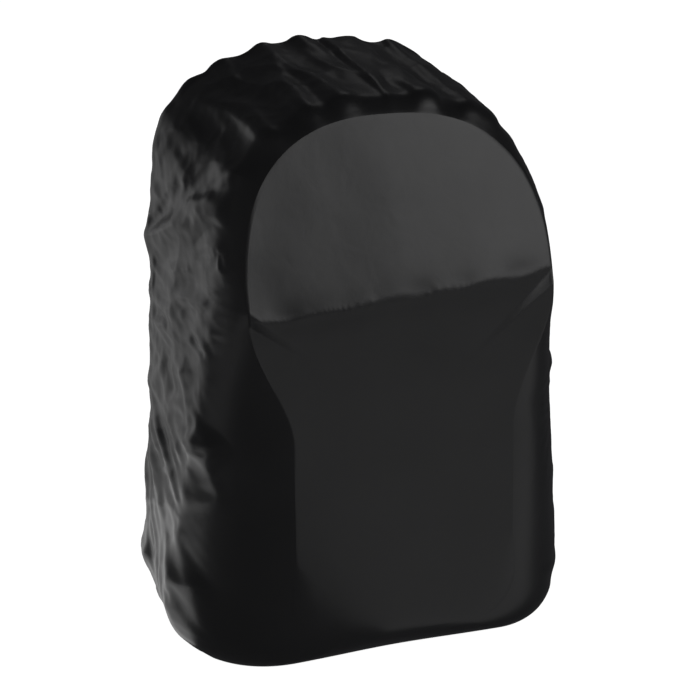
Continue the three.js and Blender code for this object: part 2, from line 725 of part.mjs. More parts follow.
// ---- handle and lashing rings --------------------------------------------------------------
// Ring bent from round bar: a straight side along X at the origin, and a bow hanging from it.
function bentRing(halfWidth, drop, radius) {
  const route = [];
  const corner = Math.min(halfWidth, drop) * 0.9;
  const bow = 10;
  for (let i = 0; i <= bow; i++) {
    const turn = (Math.PI * i) / bow;
    route.push(new THREE.Vector3(halfWidth * Math.cos(turn), 0, -(drop - corner) - corner * Math.sin(turn)));
  }
  route.push(new THREE.Vector3(-halfWidth, 0, 0), new THREE.Vector3(halfWidth, 0, 0));
  const sides = 6;
  const sections = route.map((point, i) => {
    const before = route[(i + route.length - 1) % route.length];
    const after = route[(i + 1) % route.length];
    const into = point.clone().sub(before).normalize();
    const out = after.clone().sub(point).normalize();
    const along = into.clone().add(out).normalize();
    const stretch = 1 / Math.max(0.7, along.dot(out));
    const across = new THREE.Vector3(along.z, 0, -along.x);
    return Array.from({ length: sides }, (_, j) => {
      const turn = (2 * Math.PI * (j + 0.5)) / sides;
      return point.clone()
        .addScaledVector(across, radius * stretch * Math.cos(turn))
        .add(new THREE.Vector3(0, radius * Math.sin(turn), 0));
    });
  });
  return loft(sections, true);
}

const RING_Y = PANEL_Y + 7;
const RING_PLACES = {
  upper_left: [-95, 388], upper_right: [95, 388], lower_left: [-56, 86], lower_right: [56, 86],
};
const RING_HALF = 10;
const RING_DROP = 17;
const RING_BAR = 1.6;
const TAB_LENGTH = 15;
const TAB_RADIUS = 3.4;
const sideways = new THREE.Matrix4().makeBasis(
  new THREE.Vector3(0, 1, 0), new THREE.Vector3(0, 0, 1), new THREE.Vector3(1, 0, 0),
);
for (const [place, [x, z]] of Object.entries(RING_PLACES)) {
  const ring = add(`lashing_ring_${place}`, bentRing(RING_HALF, RING_DROP, RING_BAR), steel);
  ring.position.set(x, RING_Y, z);
  const tab = new THREE.Shape();
  tab.moveTo(PANEL_Y + GAP, TAB_RADIUS);
  tab.lineTo(RING_Y, TAB_RADIUS);
  tab.absarc(RING_Y, 0, TAB_RADIUS, Math.PI / 2, -Math.PI / 2, true);
  tab.lineTo(PANEL_Y + GAP, -TAB_RADIUS);
  tab.closePath();
  const bore = new THREE.Path();
  bore.absarc(RING_Y, 0, RING_BAR + 2 * GAP, 0, 2 * Math.PI);
  tab.holes.push(bore);
  const geometry = new THREE.ExtrudeGeometry(tab, { depth: TAB_LENGTH, bevelEnabled: false, curveSegments: 6 });
  geometry.applyMatrix4(sideways).translate(x - TAB_LENGTH / 2, 0, z);
  add(`ring_tab_${place}`, geometry, webbing);
}

// Haul handle: a rolled webbing bow that hangs flat between two sewn anchors.
const HANDLE_HALF = 34;
const HANDLE_DROP = 28;
const HANDLE_RADIUS = 5;
const HANDLE_Y = PANEL_Y + 8.5;
const HANDLE_Z = 441;

function haulHandle() {
  const bow = 14;
  const sides = 8;
  const flat = HANDLE_DROP * 0.8;
  const route = [new THREE.Vector3(HANDLE_HALF, 0, 0)];
  for (let i = 0; i <= bow; i++) {
    const turn = (Math.PI * i) / bow;
    const bend = Math.abs(Math.cos(turn)) ** 0.8 * Math.sign(Math.cos(turn));
    route.push(new THREE.Vector3(HANDLE_HALF * bend, 0, flat - HANDLE_DROP - flat * Math.sin(turn)));
  }
  route.push(new THREE.Vector3(-HANDLE_HALF, 0, 0));
  const sections = route.map((point, i) => {
    const before = route[Math.max(0, i - 1)];
    const after = route[Math.min(route.length - 1, i + 1)];
    const along = after.clone().sub(before).normalize();
    const across = new THREE.Vector3(along.z, 0, -along.x);
    return Array.from({ length: sides }, (_, j) => {
      const turn = (2 * Math.PI * (j + 0.5)) / sides;
      return point.clone()
        .addScaledVector(across, HANDLE_RADIUS * Math.cos(turn))
        .add(new THREE.Vector3(0, HANDLE_RADIUS * Math.sin(turn), 0));
    });
  });
  return loft(sections, false);
}
add('haul_handle', haulHandle(), webbing).position.set(0, HANDLE_Y, HANDLE_Z);
for (const [name, side] of [['left', -1], ['right', 1]]) {
  const anchor = roundedRectangle(18, 20, 3, side * HANDLE_HALF, HANDLE_Z + 12);
  add(`handle_anchor_${name}`, plate(anchor, 3.6, PANEL_Y + GAP + 3.6, 3), webbing);
}

export default group;
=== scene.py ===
# An upright tail bag inside its stretch-on rain cover, standing on a pale studio floor.
# Metres, +Z up, front towards -Y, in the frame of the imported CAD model.
import math

import bmesh
import bpy
import numpy as np
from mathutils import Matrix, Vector, noise


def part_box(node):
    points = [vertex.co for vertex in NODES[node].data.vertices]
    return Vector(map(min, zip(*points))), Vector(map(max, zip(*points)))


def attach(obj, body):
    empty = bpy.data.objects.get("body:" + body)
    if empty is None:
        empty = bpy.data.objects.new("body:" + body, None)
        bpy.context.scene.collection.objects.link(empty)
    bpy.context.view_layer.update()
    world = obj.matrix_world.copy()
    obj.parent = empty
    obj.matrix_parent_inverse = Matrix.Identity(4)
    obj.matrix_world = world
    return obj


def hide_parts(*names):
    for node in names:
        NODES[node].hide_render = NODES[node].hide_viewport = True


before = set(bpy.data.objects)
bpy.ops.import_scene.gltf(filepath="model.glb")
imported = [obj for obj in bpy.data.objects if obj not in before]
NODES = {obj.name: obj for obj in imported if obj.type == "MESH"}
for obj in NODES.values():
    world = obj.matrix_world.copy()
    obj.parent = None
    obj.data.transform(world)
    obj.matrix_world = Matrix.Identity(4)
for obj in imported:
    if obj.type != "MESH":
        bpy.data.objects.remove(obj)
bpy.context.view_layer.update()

HALF_PI = math.pi / 2
NOISE_SEED = 7
noise.seed_set(NOISE_SEED)

# ---- driving dimensions, as in the CAD model ----
BASE_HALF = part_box("cover_hem")[1].x
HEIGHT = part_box("cover_gusset")[1].z
BACK_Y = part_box("cover_hem")[1].y
SHOULDER_HALF = 0.158
FRONT_BASE_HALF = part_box("cover_gusset")[1].x
FRONT_SHOULDER_HALF = 0.149
ARCH_HEIGHT = 0.152
ARCH_POWER = 2.5
CORNER_RADIUS = 0.058
FRONT_CORNER_RADIUS = 0.052
TIGHTEST_CORNER = 0.012
BASE_DEPTH = 0.214
LEDGE_DEPTH = 0.203
LEDGE_Z = 0.322
TOP_DEPTH = 0.164
TOP_Z = 0.470
TOP_DROP = 0.029
BASE_FILLET = 0.100
TOP_FILLET = 0.015
PLATE_FLOOR = 0.030
PLATE_TOP = 0.012
PLATE_BASE_HALF = 0.098
PLATE_SHOULDER_HALF = 0.134
PLATE_CORNER = 0.046
FLARE_LOW = 0.205
FLARE_HIGH = 0.318
LOW_CHAMFER = 0.4
HIGH_CHAMFER = 0.7
CHAMFER_LOW_Z = 0.220
CHAMFER_HIGH_Z = 0.340
ELASTIC_INSET = 0.041
ELASTIC_Y = 0.101

# Shares of half the outline taken by the base, the corner and the straight side.
BASE_SHARE = 0.165
CORNER_SHARE = 0.247
SIDE_SHARE = 0.66


# ---- the form of the covered bag ----
def lerp(a, b, t):
    return a + (b - a) * t


def smooth(t):
    t = np.clip(t, 0.0, 1.0)
    return t * t * (3 - 2 * t)


def outline(share, base_half, shoulder_half, floor, top, arch, corner):
    """X and Z on the front outline; share is 0 at the base, 1 at the crown, 2 at the base."""
    s = np.where(share <= 1, share, 2 - share)
    arch_turn = np.clip((s - SIDE_SHARE) / (1 - SIDE_SHARE), 0, 1) * HALF_PI
    across = np.clip(np.cos(arch_turn), 0, 1)
    up = np.sin(arch_turn)
    turn = np.clip((s - BASE_SHARE) / (CORNER_SHARE - BASE_SHARE), 0, 1) * HALF_PI
    rise = np.clip((s - CORNER_SHARE) / (SIDE_SHARE - CORNER_SHARE), 0, 1)
    parts = [s < BASE_SHARE, s < CORNER_SHARE, s < SIDE_SHARE]
    x = np.select(
        parts,
        [(base_half - corner) * s / BASE_SHARE, base_half - corner * (1 - np.sin(turn)),
         lerp(base_half, shoulder_half, rise)],
        shoulder_half * across ** (2 / ARCH_POWER),
    )
    z = np.select(
        parts,
        [floor, floor + corner * (1 - np.cos(turn)), lerp(floor + corner, top - arch, rise)],
        top - arch + arch * up ** (2 / ARCH_POWER),
    )
    return np.where(share <= 1, x, -x), z


def back_ring(share, inset=0.0):
    return outline(share, BASE_HALF - inset, SHOULDER_HALF - inset, inset, HEIGHT - inset,
                   ARCH_HEIGHT - inset, max(CORNER_RADIUS - inset, TIGHTEST_CORNER))


def front_ring(share, inset=0.0):
    return outline(share, FRONT_BASE_HALF - inset, FRONT_SHOULDER_HALF - inset, inset,
                   HEIGHT - TOP_DROP - inset, ARCH_HEIGHT - inset,
                   max(FRONT_CORNER_RADIUS - inset, TIGHTEST_CORNER))


def plate_ring(share):
    """Edge of the flat front: narrow over the pocket, flaring to the shoulders."""
    x, z = outline(share, PLATE_BASE_HALF, PLATE_BASE_HALF, PLATE_FLOOR, HEIGHT - TOP_DROP - PLATE_TOP,
                   ARCH_HEIGHT - PLATE_TOP, PLATE_CORNER)
    widening = smooth((z - FLARE_LOW) / (FLARE_HIGH - FLARE_LOW))
    return x * lerp(1, PLATE_SHOULDER_HALF / PLATE_BASE_HALF, widening), z


def front_y(z):
    return BACK_Y - np.interp(z, [0, LEDGE_Z, TOP_Z], [BASE_DEPTH, LEDGE_DEPTH, TOP_DEPTH])


def side_end_y(z):
    return front_y(z) + np.interp(z, [0, TOP_Z], [BASE_FILLET, TOP_FILLET])


def side_points(share, y, inset=0.0):
    """Points on the side of the covered bag at depth y."""
    bx, bz = back_ring(share, inset)
    fx, fz = front_ring(share, inset)
    t = (BACK_Y - y) / (BACK_Y - side_end_y(fz))
    return np.stack([lerp(bx, fx, t), np.broadcast_to(y, bx.shape), lerp(bz, fz, t)], -1)


def edge_points(share, angle, inset=0.0):
    """Points on the broken edge: angle 0 where the side ends, a right angle at the flat front."""
    x, z = front_ring(share, inset)
    px, pz = plate_ring(share)
    upper = smooth((z - CHAMFER_LOW_Z) / (CHAMFER_HIGH_Z - CHAMFER_LOW_Z))
    flat = lerp(LOW_CHAMFER, HIGH_CHAMFER, upper) * smooth(z / FRONT_CORNER_RADIUS)
    inward = lerp(1 - np.cos(angle), angle / HALF_PI, flat)
    forward = lerp(np.sin(angle), angle / HALF_PI, flat)
    y = lerp(side_end_y(z), front_y(pz) + inset, forward)
    return np.stack([lerp(x, px, inward), y, lerp(z, pz, inward)], -1)


# ---- mesh helpers ----
def unit(vectors):
    return vectors / np.maximum(np.linalg.norm(vectors, axis=-1, keepdims=True), 1e-12)


def powered(values, power):
    """Values raised to a power, with their signs kept."""
    return np.sign(values) * np.abs(values) ** power


def extended(rows):
    """Rows with one more at each end, straight on."""
    return np.concatenate([2 * rows[:1] - rows[1:2], rows, 2 * rows[-1:] - rows[-2:-1]])


def add_mesh(name, mesh, material, smooth_shading):
    if smooth_shading:
        mesh.polygons.foreach_set("use_smooth", [True] * len(mesh.polygons))
    if material is not None:
        mesh.materials.append(material)
    made = bpy.data.objects.new(name, mesh)
    bpy.context.scene.collection.objects.link(made)
    return made


def new_object(name, points, faces, material=None, smooth_shading=True):
    mesh = bpy.data.meshes.new(name)
    mesh.from_pydata([tuple(p) for p in points], [], [tuple(int(i) for i in f) for f in faces])
    mesh.update()
    return add_mesh(name, mesh, material, smooth_shading)


def grid_faces(rows, columns, wrap):
    """Quads of a grid stored row by row; wrap joins the last column to the first."""
    r = np.arange(rows - 1)[:, None]
    c = np.arange(columns if wrap else columns - 1)[None, :]
    n = (c + 1) % columns
    low, high = r * columns, (r + 1) * columns
    return np.stack([low + c, high + c, high + n, low + n], -1).reshape(-1, 4)


def set_uv(obj, uv_of_vertex):
    """Gives every corner the UV of its vertex."""
    layer = obj.data.uv_layers.new(name="cloth")
    corners = np.zeros(len(obj.data.loops), np.int32)
    obj.data.loops.foreach_get("vertex_index", corners)
    layer.data.foreach_set("uv", np.asarray(uv_of_vertex, np.float32)[corners].ravel())


def read_points(mesh):
    co = np.zeros(len(mesh.vertices) * 3, np.float32)
    mesh.vertices.foreach_get("co", co)
    return co.reshape(-1, 3).astype(float)


def arc_lengths(points, axis):
    """Running length along an axis of a grid of points."""
    steps = np.linalg.norm(np.diff(points, axis=axis), axis=-1)
    start = np.zeros_like(np.take(steps, [0], axis))
    return np.concatenate([start, np.cumsum(steps, axis)], axis)


# ---- swept, domed and sewn pieces ----
def closed_grid(name, rows, material, uv=None):
    """Body from closed rows; a point in the middle closes the first row and the last."""
    rows = np.asarray(rows)
    count, around = rows.shape[:2]
    points = np.concatenate([rows.reshape(-1, 3), [rows[0].mean(0)], [rows[-1].mean(0)]])
    faces = grid_faces(count, around, True).tolist()
    first, last = count * around, count * around + 1
    for k in range(around):
        n = (k + 1) % around
        faces.append((first, k, n))
        faces.append((last, (count - 1) * around + n, (count - 1) * around + k))
    made = new_object(name, points, faces, material)
    if uv is not None:
        set_uv(made, np.concatenate([np.asarray(uv).reshape(-1, 2), [uv[0][0]], [uv[-1][0]]]))
    return made


RING_STEP = 0.006


def rounded_ring(width, height, radius, x, z):
    """Rounded rectangle in X and Z, in even steps."""
    w, h = width / 2 - radius, height / 2 - radius
    corners = [(w, h), (-w, h), (-w, -h), (w, -h)]
    ring = []
    for k, (cx, cz) in enumerate(corners):
        nx, nz = corners[(k + 1) % 4]
        for turn in HALF_PI * k + np.linspace(0, HALF_PI, 8):
            ring.append((x + cx + radius * math.cos(turn), z + cz + radius * math.sin(turn)))
        end = (x + nx + radius * math.cos(turn), z + nz + radius * math.sin(turn))
        begin = ring[-1]
        steps = max(2, int(math.dist(begin, end) / RING_STEP))
        ring += [tuple(lerp(np.array(begin), np.array(end), t)) for t in np.linspace(0, 1, steps + 1)[1:-1]]
    return np.array(ring)


def cushion(name, ring, base, thick, material, edge, crown, groove=None):
    """Pad that faces the back: rounded edge, crowned face and, where given, sewn grooves."""
    middle = (ring.max(0) + ring.min(0)) / 2
    shrink = 2 * edge / np.ptp(ring, axis=0)
    rows = []

    def row(scale, height):
        flat = middle + (ring - middle) * scale
        rows.append(np.stack([flat[:, 0], base + height + np.zeros(len(ring)), flat[:, 1]], -1))

    row(0.5 * (1 - shrink), 0)
    row(1 - shrink * 0.6, 0)
    for a in np.linspace(0, HALF_PI, 6):
        row(1 - shrink * (1 - math.cos(a)), edge * 0.4 + (thick - edge * 0.4) * math.sin(a))
    for scale in np.linspace(1, 0.02, 34)[1:]:
        flat = middle + (ring - middle) * (1 - shrink) * scale
        height = thick + crown * (1 - scale ** 4)
        if groove is not None:
            height = height - groove(flat) * smooth((1 - scale) / 0.1)
        row((1 - shrink) * scale, height)
    return closed_grid(name, rows[::-1], material)


def route_frames(route, count):
    """Points, directions and running length along a smooth route."""
    route = np.asarray(route, float)
    knots = np.linspace(0, len(route) - 1, count)
    ends = extended(route)
    k = np.minimum(knots.astype(int), len(route) - 2)
    t = (knots - k)[:, None]
    a, b, c, d = ends[k], ends[k + 1], ends[k + 2], ends[k + 3]
    bend = (2 * a - 5 * b + 4 * c - d) * t ** 2 + (3 * b - a - 3 * c + d) * t ** 3
    points = 0.5 * (2 * b + (c - a) * t + bend)
    return points, unit(np.gradient(points, axis=0)), arc_lengths(points, 0)


def width_along(width, count):
    """One value, or one for each stop, spread over the points of a route."""
    return np.interp(np.linspace(0, 1, count), np.linspace(0, 1, np.size(width)), np.atleast_1d(width))


def ribbon(name, route, width, thick, material, count, crown, squareness):
    """Strap along a route, facing the back. width is one value or one for each stop."""
    points, along, length = route_frames(route, count)
    across = unit(np.cross(along, BACKWARD))
    normal = np.cross(across, along)
    widths = width_along(width, count)
    turn = np.linspace(0, 2 * math.pi, RIBBON_SIDES, endpoint=False)
    side = powered(np.cos(turn), squareness)
    rise = powered(np.sin(turn), squareness)
    lift = thick / 2 * rise + crown * (1 - side ** 2) * np.maximum(rise, 0)
    rows = [p + a * (side * w / 2)[:, None] + n * lift[:, None]
            for p, a, n, w in zip(points, across, normal, widths)]
    uv = [np.stack([side * w / 2, np.full(RIBBON_SIDES, run)], -1) for w, run in zip(widths, length)]
    return closed_grid(name, rows, material, uv)


def tube(name, route, radius, material, closed=False, sides=10):
    """Round piping or elastic along a route, which may close on itself."""
    route = np.asarray(route, float)
    if closed:
        along = unit(np.roll(route, -1, 0) - np.roll(route, 1, 0))
    else:
        along = unit(extended(route)[2:] - extended(route)[:-2])
    up = np.where(np.abs(along[:, 1:2]) > 0.9, (0.0, 0.0, 1.0), BACKWARD)
    a = unit(np.cross(along, up))
    b = np.cross(along, a)
    turns = np.linspace(0, 2 * math.pi, sides, endpoint=False)
    radii = np.broadcast_to(radius, len(route))[:, None, None]
    spokes = np.cos(turns)[:, None] * a[:, None] + np.sin(turns)[:, None] * b[:, None]
    rows = route[:, None] + radii * spokes
    if not closed:
        return closed_grid(name, rows, material)
    faces = grid_faces(len(route) + 1, sides, True) % (len(route) * sides)
    return new_object(name, rows.reshape(-1, 3), faces, material)


BACKWARD = (0.0, 1.0, 0.0)
RIBBON_SIDES = 40
BEAD_SIDES = 5
STITCH = dict(pitch=0.0034, length=0.0025, radius=0.00038)
COIL = dict(pitch=0.0014, length=0.0042, radius=0.00075, crosswise=True, stagger=0.0009)
# One bead, end to end: its place along the stitch, its size and its height off the cloth.
BEAD = [(-0.5, 0.4, -0.6), (-0.3, 1.0, 0.3), (0.0, 1.1, 0.6), (0.3, 1.0, 0.3), (0.5, 0.4, -0.6)]


def beads(name, lines, normal, material, pitch, length, radius, crosswise=False, stagger=0.0):
    """Rows of single stitches, or of zip coil turns, along lines of points."""
    points, faces = [], []
    for line in lines:
        line = np.asarray(line, float)
        run = arc_lengths(line, 0)
        places = np.arange(pitch / 2, run[-1], pitch)
        spots, ahead = (np.stack([np.interp(places + d, run, line[:, k]) for k in range(3)], -1)
                        for d in (0, 1e-4))
        along = unit(ahead - spots)
        out = np.broadcast_to(np.asarray(normal, float), along.shape)
        across = unit(np.cross(along, out))
        u, v = (across, along) if crosswise else (along, across)
        for k, spot in enumerate(spots):
            start = len(points)
            spot = spot + u[k] * stagger * (1 - 2 * (k % 2))
            for s, size, lift in BEAD:
                for turn in np.linspace(0, 2 * math.pi, BEAD_SIDES, endpoint=False):
                    points.append(spot + u[k] * s * length + v[k] * radius * size * math.cos(turn)
                                  + out[k] * radius * (lift + size * math.sin(turn)))
            faces += (grid_faces(len(BEAD), BEAD_SIDES, True) + start).tolist()
            faces.append(range(start, start + BEAD_SIDES))
            faces.append(range(len(points) - 1, len(points) - 1 - BEAD_SIDES, -1))
    return new_object(name, points, faces, material)


CRUMPLE = 0.0007
CRUMPLE_SCALE = 0.045


def slack(points):
    """The same small unevenness for every cloth, so that sewn pieces stay together."""
    points = np.asarray(points)
    moved = [noise.noise_vector(Vector(p) / CRUMPLE_SCALE) for p in points.reshape(-1, 3)]
    return points + CRUMPLE * np.array(moved).reshape(points.shape)


def softened(node, material, step=0.006, rounds=2):
    """Cloth form of a soft CAD node: faces divided, edges rounded, skin a little uneven."""
    work = bmesh.new()
    work.from_mesh(NODES[node].data)
    bmesh.ops.remove_doubles(work, verts=work.verts, dist=2e-5)
    bmesh.ops.triangulate(work, faces=work.faces)
    for _ in range(7):
        wide = [edge for edge in work.edges if edge.calc_length() > step]
        if wide:
            bmesh.ops.subdivide_edges(work, edges=wide, cuts=1)
            bmesh.ops.triangulate(work, faces=work.faces)
    for _ in range(rounds):
        bmesh.ops.smooth_vert(work, verts=work.verts, factor=0.4,
                              use_axis_x=True, use_axis_y=True, use_axis_z=True)
    mesh = bpy.data.meshes.new(node + "_cloth")
    work.to_mesh(mesh)
    work.free()
    mesh.vertices.foreach_set("co", slack(read_points(mesh)).astype(np.float32).ravel())
    mesh.update()
    return add_mesh(node + "_cloth", mesh, material, True)


def stitched(name, lines, normal, slot, body="bag"):
    sewn(beads(name, lines, normal, FINISH["thread"], **STITCH), slot, body=body)


def sewn(piece, slot, *nodes, body="bag"):
    """The piece rides on a body and stands for CAD nodes, which are hidden. The slot is not used."""
    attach(piece, body)
    if nodes:
        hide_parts(*nodes)
    return piece


# ---- rain cover: one simulated band from the front seam to the elastic hem ----
AROUND = 360
ALONG = 56
EDGE_ROWS = 40
SIDE_ROWS = 60
TURN_ROWS = 9
LIP_ROWS = 20
BACK_TURN = 0.009
SETTLE_FRAMES = 24


def even_shares(count):
    """Shares spaced evenly by length along the outline where the side ends."""
    dense = np.linspace(0, 2, 4001)
    x, z = front_ring(dense)
    length = arc_lengths(np.stack([x, z], -1), 0)
    return np.interp(np.arange(count) / count * length[-1], length, dense)


def back_points(share, inset, y):
    x, z = back_ring(share, inset)
    return np.stack([x, np.full_like(x, y), z], -1)


def cover_profile(share, inset=0.0, lip=ELASTIC_INSET):
    """Profiles from the front seam over the broken edge, the side and the back edge."""
    rows = [edge_points(share, angle, inset) for angle in np.linspace(HALF_PI, 0, EDGE_ROWS)]
    start = side_end_y(front_ring(share)[1])
    for t in np.linspace(0, 1, SIDE_ROWS)[1:]:
        rows.append(side_points(share, lerp(start, BACK_Y - BACK_TURN, t), inset))
    for angle in np.linspace(0, HALF_PI, TURN_ROWS)[1:]:
        y = BACK_Y - BACK_TURN + (BACK_TURN - inset) * math.sin(angle)
        rows.append(back_points(share, inset + (BACK_TURN - inset) * (1 - math.cos(angle)), y))
    for t in np.linspace(0, 1, LIP_ROWS)[1:]:
        rows.append(back_points(share, lerp(BACK_TURN, lip, t), lerp(BACK_Y, ELASTIC_Y, t) - inset))
    return np.stack(rows)


def resample(profiles, count):
    """Each profile as evenly spaced points, and its running length."""
    length = arc_lengths(profiles, 0)
    out = np.zeros((count, profiles.shape[1], 3))
    for j in range(profiles.shape[1]):
        want = np.linspace(0, length[-1, j], count)
        for axis in range(3):
            out[:, j, axis] = np.interp(want, length[:, j], profiles[:, j, axis])
    return out, length


def grid_normals(points):
    """Outward unit normals of a grid whose columns wrap round."""
    return unit(np.cross(np.gradient(points, axis=0), np.roll(points, -1, 1) - np.roll(points, 1, 1)))


def at_points(pattern, axes):
    """A pattern's value at arrays of coordinates."""
    points = np.stack(np.broadcast_arrays(*axes), -1)
    values = [pattern(Vector(p)) for p in points.reshape(-1, 3).tolist()]
    return np.array(values).reshape(points.shape[:-1])


def noise_at(*axes):
    """Smooth noise, about -1 to 1."""
    return at_points(noise.noise, axes) * 2


def facets(*axes):
    """Sharp crests round smooth hollows, about 0 to 1."""
    return at_points(lambda p: noise.voronoi(p)[0][0], axes) ** 1.3


class Band:
    """The cut and the held shape of the band of cloth that goes round the bag."""

    def __init__(self):
        self.share = even_shares(AROUND)
        profiles = cover_profile(self.share)
        self.points, length = resample(profiles, ALONG)
        self.normals = grid_normals(self.points)
        self.along = np.linspace(0, 1, ALONG)[:, None]
        total = length[-1][None, :]
        self.side_start = length[EDGE_ROWS - 1][None, :] / total
        self.back_edge = length[EDGE_ROWS + SIDE_ROWS - 2][None, :] / total
        self.run = np.clip((self.along - self.side_start) / (self.back_edge - self.side_start), 0, 1.4)
        self.depth = self.along * total
        closed = np.append(self.share, 2.0)
        length = arc_lengths(side_points(closed, side_end_y(front_ring(closed)[1])), 0)
        self.around = length[None, :-1]
        self.perimeter = length[-1]
        self.lip = np.clip(self.along - self.back_edge, 0, None) * total

    def sides(self, around):
        """Distance up either side from the middle of the base, and which side it is."""
        up = np.minimum(around, self.perimeter - around)
        return up, np.where(around < self.perimeter / 2, 1.0, -1.0)

    def cut(self):
        """The size the cloth was cut to: full towards the hem, with no gathers or turned-in lip."""
        full = 1 + SIDE_FULLNESS * smooth(self.run / 0.6) + HEM_FULLNESS * smooth((self.run - 0.5) / 0.5)
        back_x, back_z = back_ring(np.broadcast_to(self.share, self.points.shape[:2]))
        over = self.lip > 0
        x, y, z = np.moveaxis(self.points, -1, 0)
        x = np.where(over, back_x, x) * full
        y = np.where(over, BACK_Y - BACK_TURN + self.lip, y)
        z = lerp(HEIGHT / 2, np.where(over, back_z, z), full)
        return np.stack([x, y, z], -1)

    def seeded(self):
        """The held shape with the hint of its folds that the cloth settles into."""
        up, side = self.sides(self.around)
        z = self.points[..., 2]
        low = 1 - smooth((z - LOW_FOLDS_Z) / 0.10)
        crown = smooth((z - CROWN_FOLDS_Z) / 0.06)
        drift = LOW_DRIFT * low - HIGH_DRIFT * (1 - low) * (1 - crown)
        lane = up - drift * self.run
        ragged = 0.62 + 0.35 * noise_at(lane / 0.040, side * 5.3, 1.7)
        fade = lerp(smooth((self.along / self.side_start - ragged) / 0.22), smooth(self.along / 0.09), crown)
        fade = fade * smooth((z - 0.012) / 0.05)
        hollows = (facets(lane / 0.050, self.run * 1.8, side * 3.7 + 11) - 0.45) * 2 * HOLLOW_DEPTH
        radial = noise_at(lane / 0.024, self.run * 0.8, side * 2.3 + 5)
        radial = (powered(radial, 0.6) + CROWN_FULLNESS) * RADIAL_DEPTH
        pleats = lerp(hollows, radial, crown) * fade
        held = self.points + self.normals * pleats[..., None]
        held[0] = self.points[0]
        return held

    def hold(self):
        """How firmly each point stays where it is held: fully at the seam and at the elastic."""
        grip = EDGE_GRIP * (1 - smooth(self.along / (self.side_start * 1.08)))
        grip = np.maximum(grip, np.where(self.points[..., 2] < 0.004, 0.3, 0))
        grip[0] = 1
        grip[-1] = 1
        return grip


SIDE_FULLNESS = 0.06
HEM_FULLNESS = 0.06
LOW_FOLDS_Z = 0.24
CROWN_FOLDS_Z = 0.385
LOW_DRIFT = 0.078
HIGH_DRIFT = 0.034
HOLLOW_DEPTH = 0.0085
RADIAL_DEPTH = 0.0034
CROWN_FULLNESS = 1.1
EDGE_GRIP = 0.6
BODY_INSET = 0.0035
BODY_LIP = 0.050
BODY_ROWS = 40
BODY_AROUND = 160
COATED_CLOTH = dict(quality=6, mass=0.1, tension_stiffness=20, compression_stiffness=20,
                    shear_stiffness=8, bending_stiffness=0.6, air_damping=3, pin_stiffness=1.2)


def settling_body():
    """The bag that the band settles on: a little inside the held shape."""
    rows, _ = resample(cover_profile(even_shares(BODY_AROUND), BODY_INSET, BODY_LIP), BODY_ROWS)
    return new_object("settling_body", rows.reshape(-1, 3), grid_faces(BODY_ROWS, BODY_AROUND, True))


def settle(held, cut, grip):
    """Lets the band settle from its cut size over the bag, and returns the settled points."""
    rows, columns = held.shape[:2]
    band = new_object("settling_band", held.reshape(-1, 3), grid_faces(rows, columns, True))
    band.shape_key_add(name="Basis")
    key = band.shape_key_add(name="cut")
    key.data.foreach_set("co", cut.ravel())
    group = band.vertex_groups.new(name="held")
    for k, weight in enumerate(grip.ravel().tolist()):
        if weight > 0:
            group.add([k], weight, "REPLACE")
    body = settling_body()
    body.modifiers.new("hold", "COLLISION")
    body.collision.thickness_outer = 0.001
    body.collision.cloth_friction = 3
    cloth = band.modifiers.new("cloth", "CLOTH")
    for setting, value in COATED_CLOTH.items():
        setattr(cloth.settings, setting, value)
    cloth.settings.vertex_group_mass = "held"
    cloth.settings.rest_shape_key = key
    cloth.settings.effector_weights.gravity = 0
    cloth.collision_settings.distance_min = 0.001
    cloth.collision_settings.use_self_collision = False
    cloth.point_cache.frame_start = 1
    cloth.point_cache.frame_end = SETTLE_FRAMES
    for step in range(1, SETTLE_FRAMES + 1):
        bpy.context.scene.frame_set(step)
    settled = band.evaluated_get(bpy.context.evaluated_depsgraph_get())
    points = read_points(settled.data).reshape(rows, columns, 3)
    bpy.context.scene.frame_set(1)
    for temporary in (band, body):
        bpy.data.objects.remove(temporary)
    return points


# ---- rain cover: the finished cloth ----
FRONT_ROWS = 56
SEAM_ROW = FRONT_ROWS - 1
SEAM = 2 * SEAM_ROW
FINE_AROUND = 2 * AROUND
CLOTH_THICK = 0.0007
SEAM_SOFTNESS = 30
LEDGE_SAG = 0.0006
LEDGE_TILT = 0.08
LEDGE_WANDER = 0.0022
LEDGE_REACH = 0.012
SEAM_REACH = 7.0
FRONT_MIDDLE = 0.22
CREASE_DEPTH = 0.0030
FRONT_CREASE = 0.0003
FLOOR_GAP = 0.0008
GATHER_PITCH = 0.011
GATHER_DEPTH = 0.0016
TAPE_GAP = 0.0013
SEAM_STITCH_IN = 0.001
CASING_RADIUS = 0.0031
ELASTIC_RADIUS = 0.0017
HEM_AROUND = 3 * AROUND
BUNCH_PITCH = 0.006


def front_rows(edge):
    """Rows of the front panel from its middle out to the seam, drawn over the pocket's ledge."""
    rows = []
    for scale in np.linspace(0, 1, FRONT_ROWS + 1)[1:-1]:
        x = edge[:, 0] * scale
        z = lerp(FRONT_MIDDLE, edge[:, 2], scale)
        drawn = z - LEDGE_TILT * x
        near = np.exp(-(((drawn - LEDGE_Z) / LEDGE_REACH) ** 2))
        drawn = drawn - LEDGE_WANDER * near * noise_at(x / 0.028, z / 0.2, 8.2)
        pulled = edge[:, 1] - front_y(edge[:, 2] - LEDGE_TILT * edge[:, 0])
        rows.append(np.stack([x, front_y(drawn) + LEDGE_SAG * near + pulled * scale ** 4, z], -1))
    return np.stack(rows)


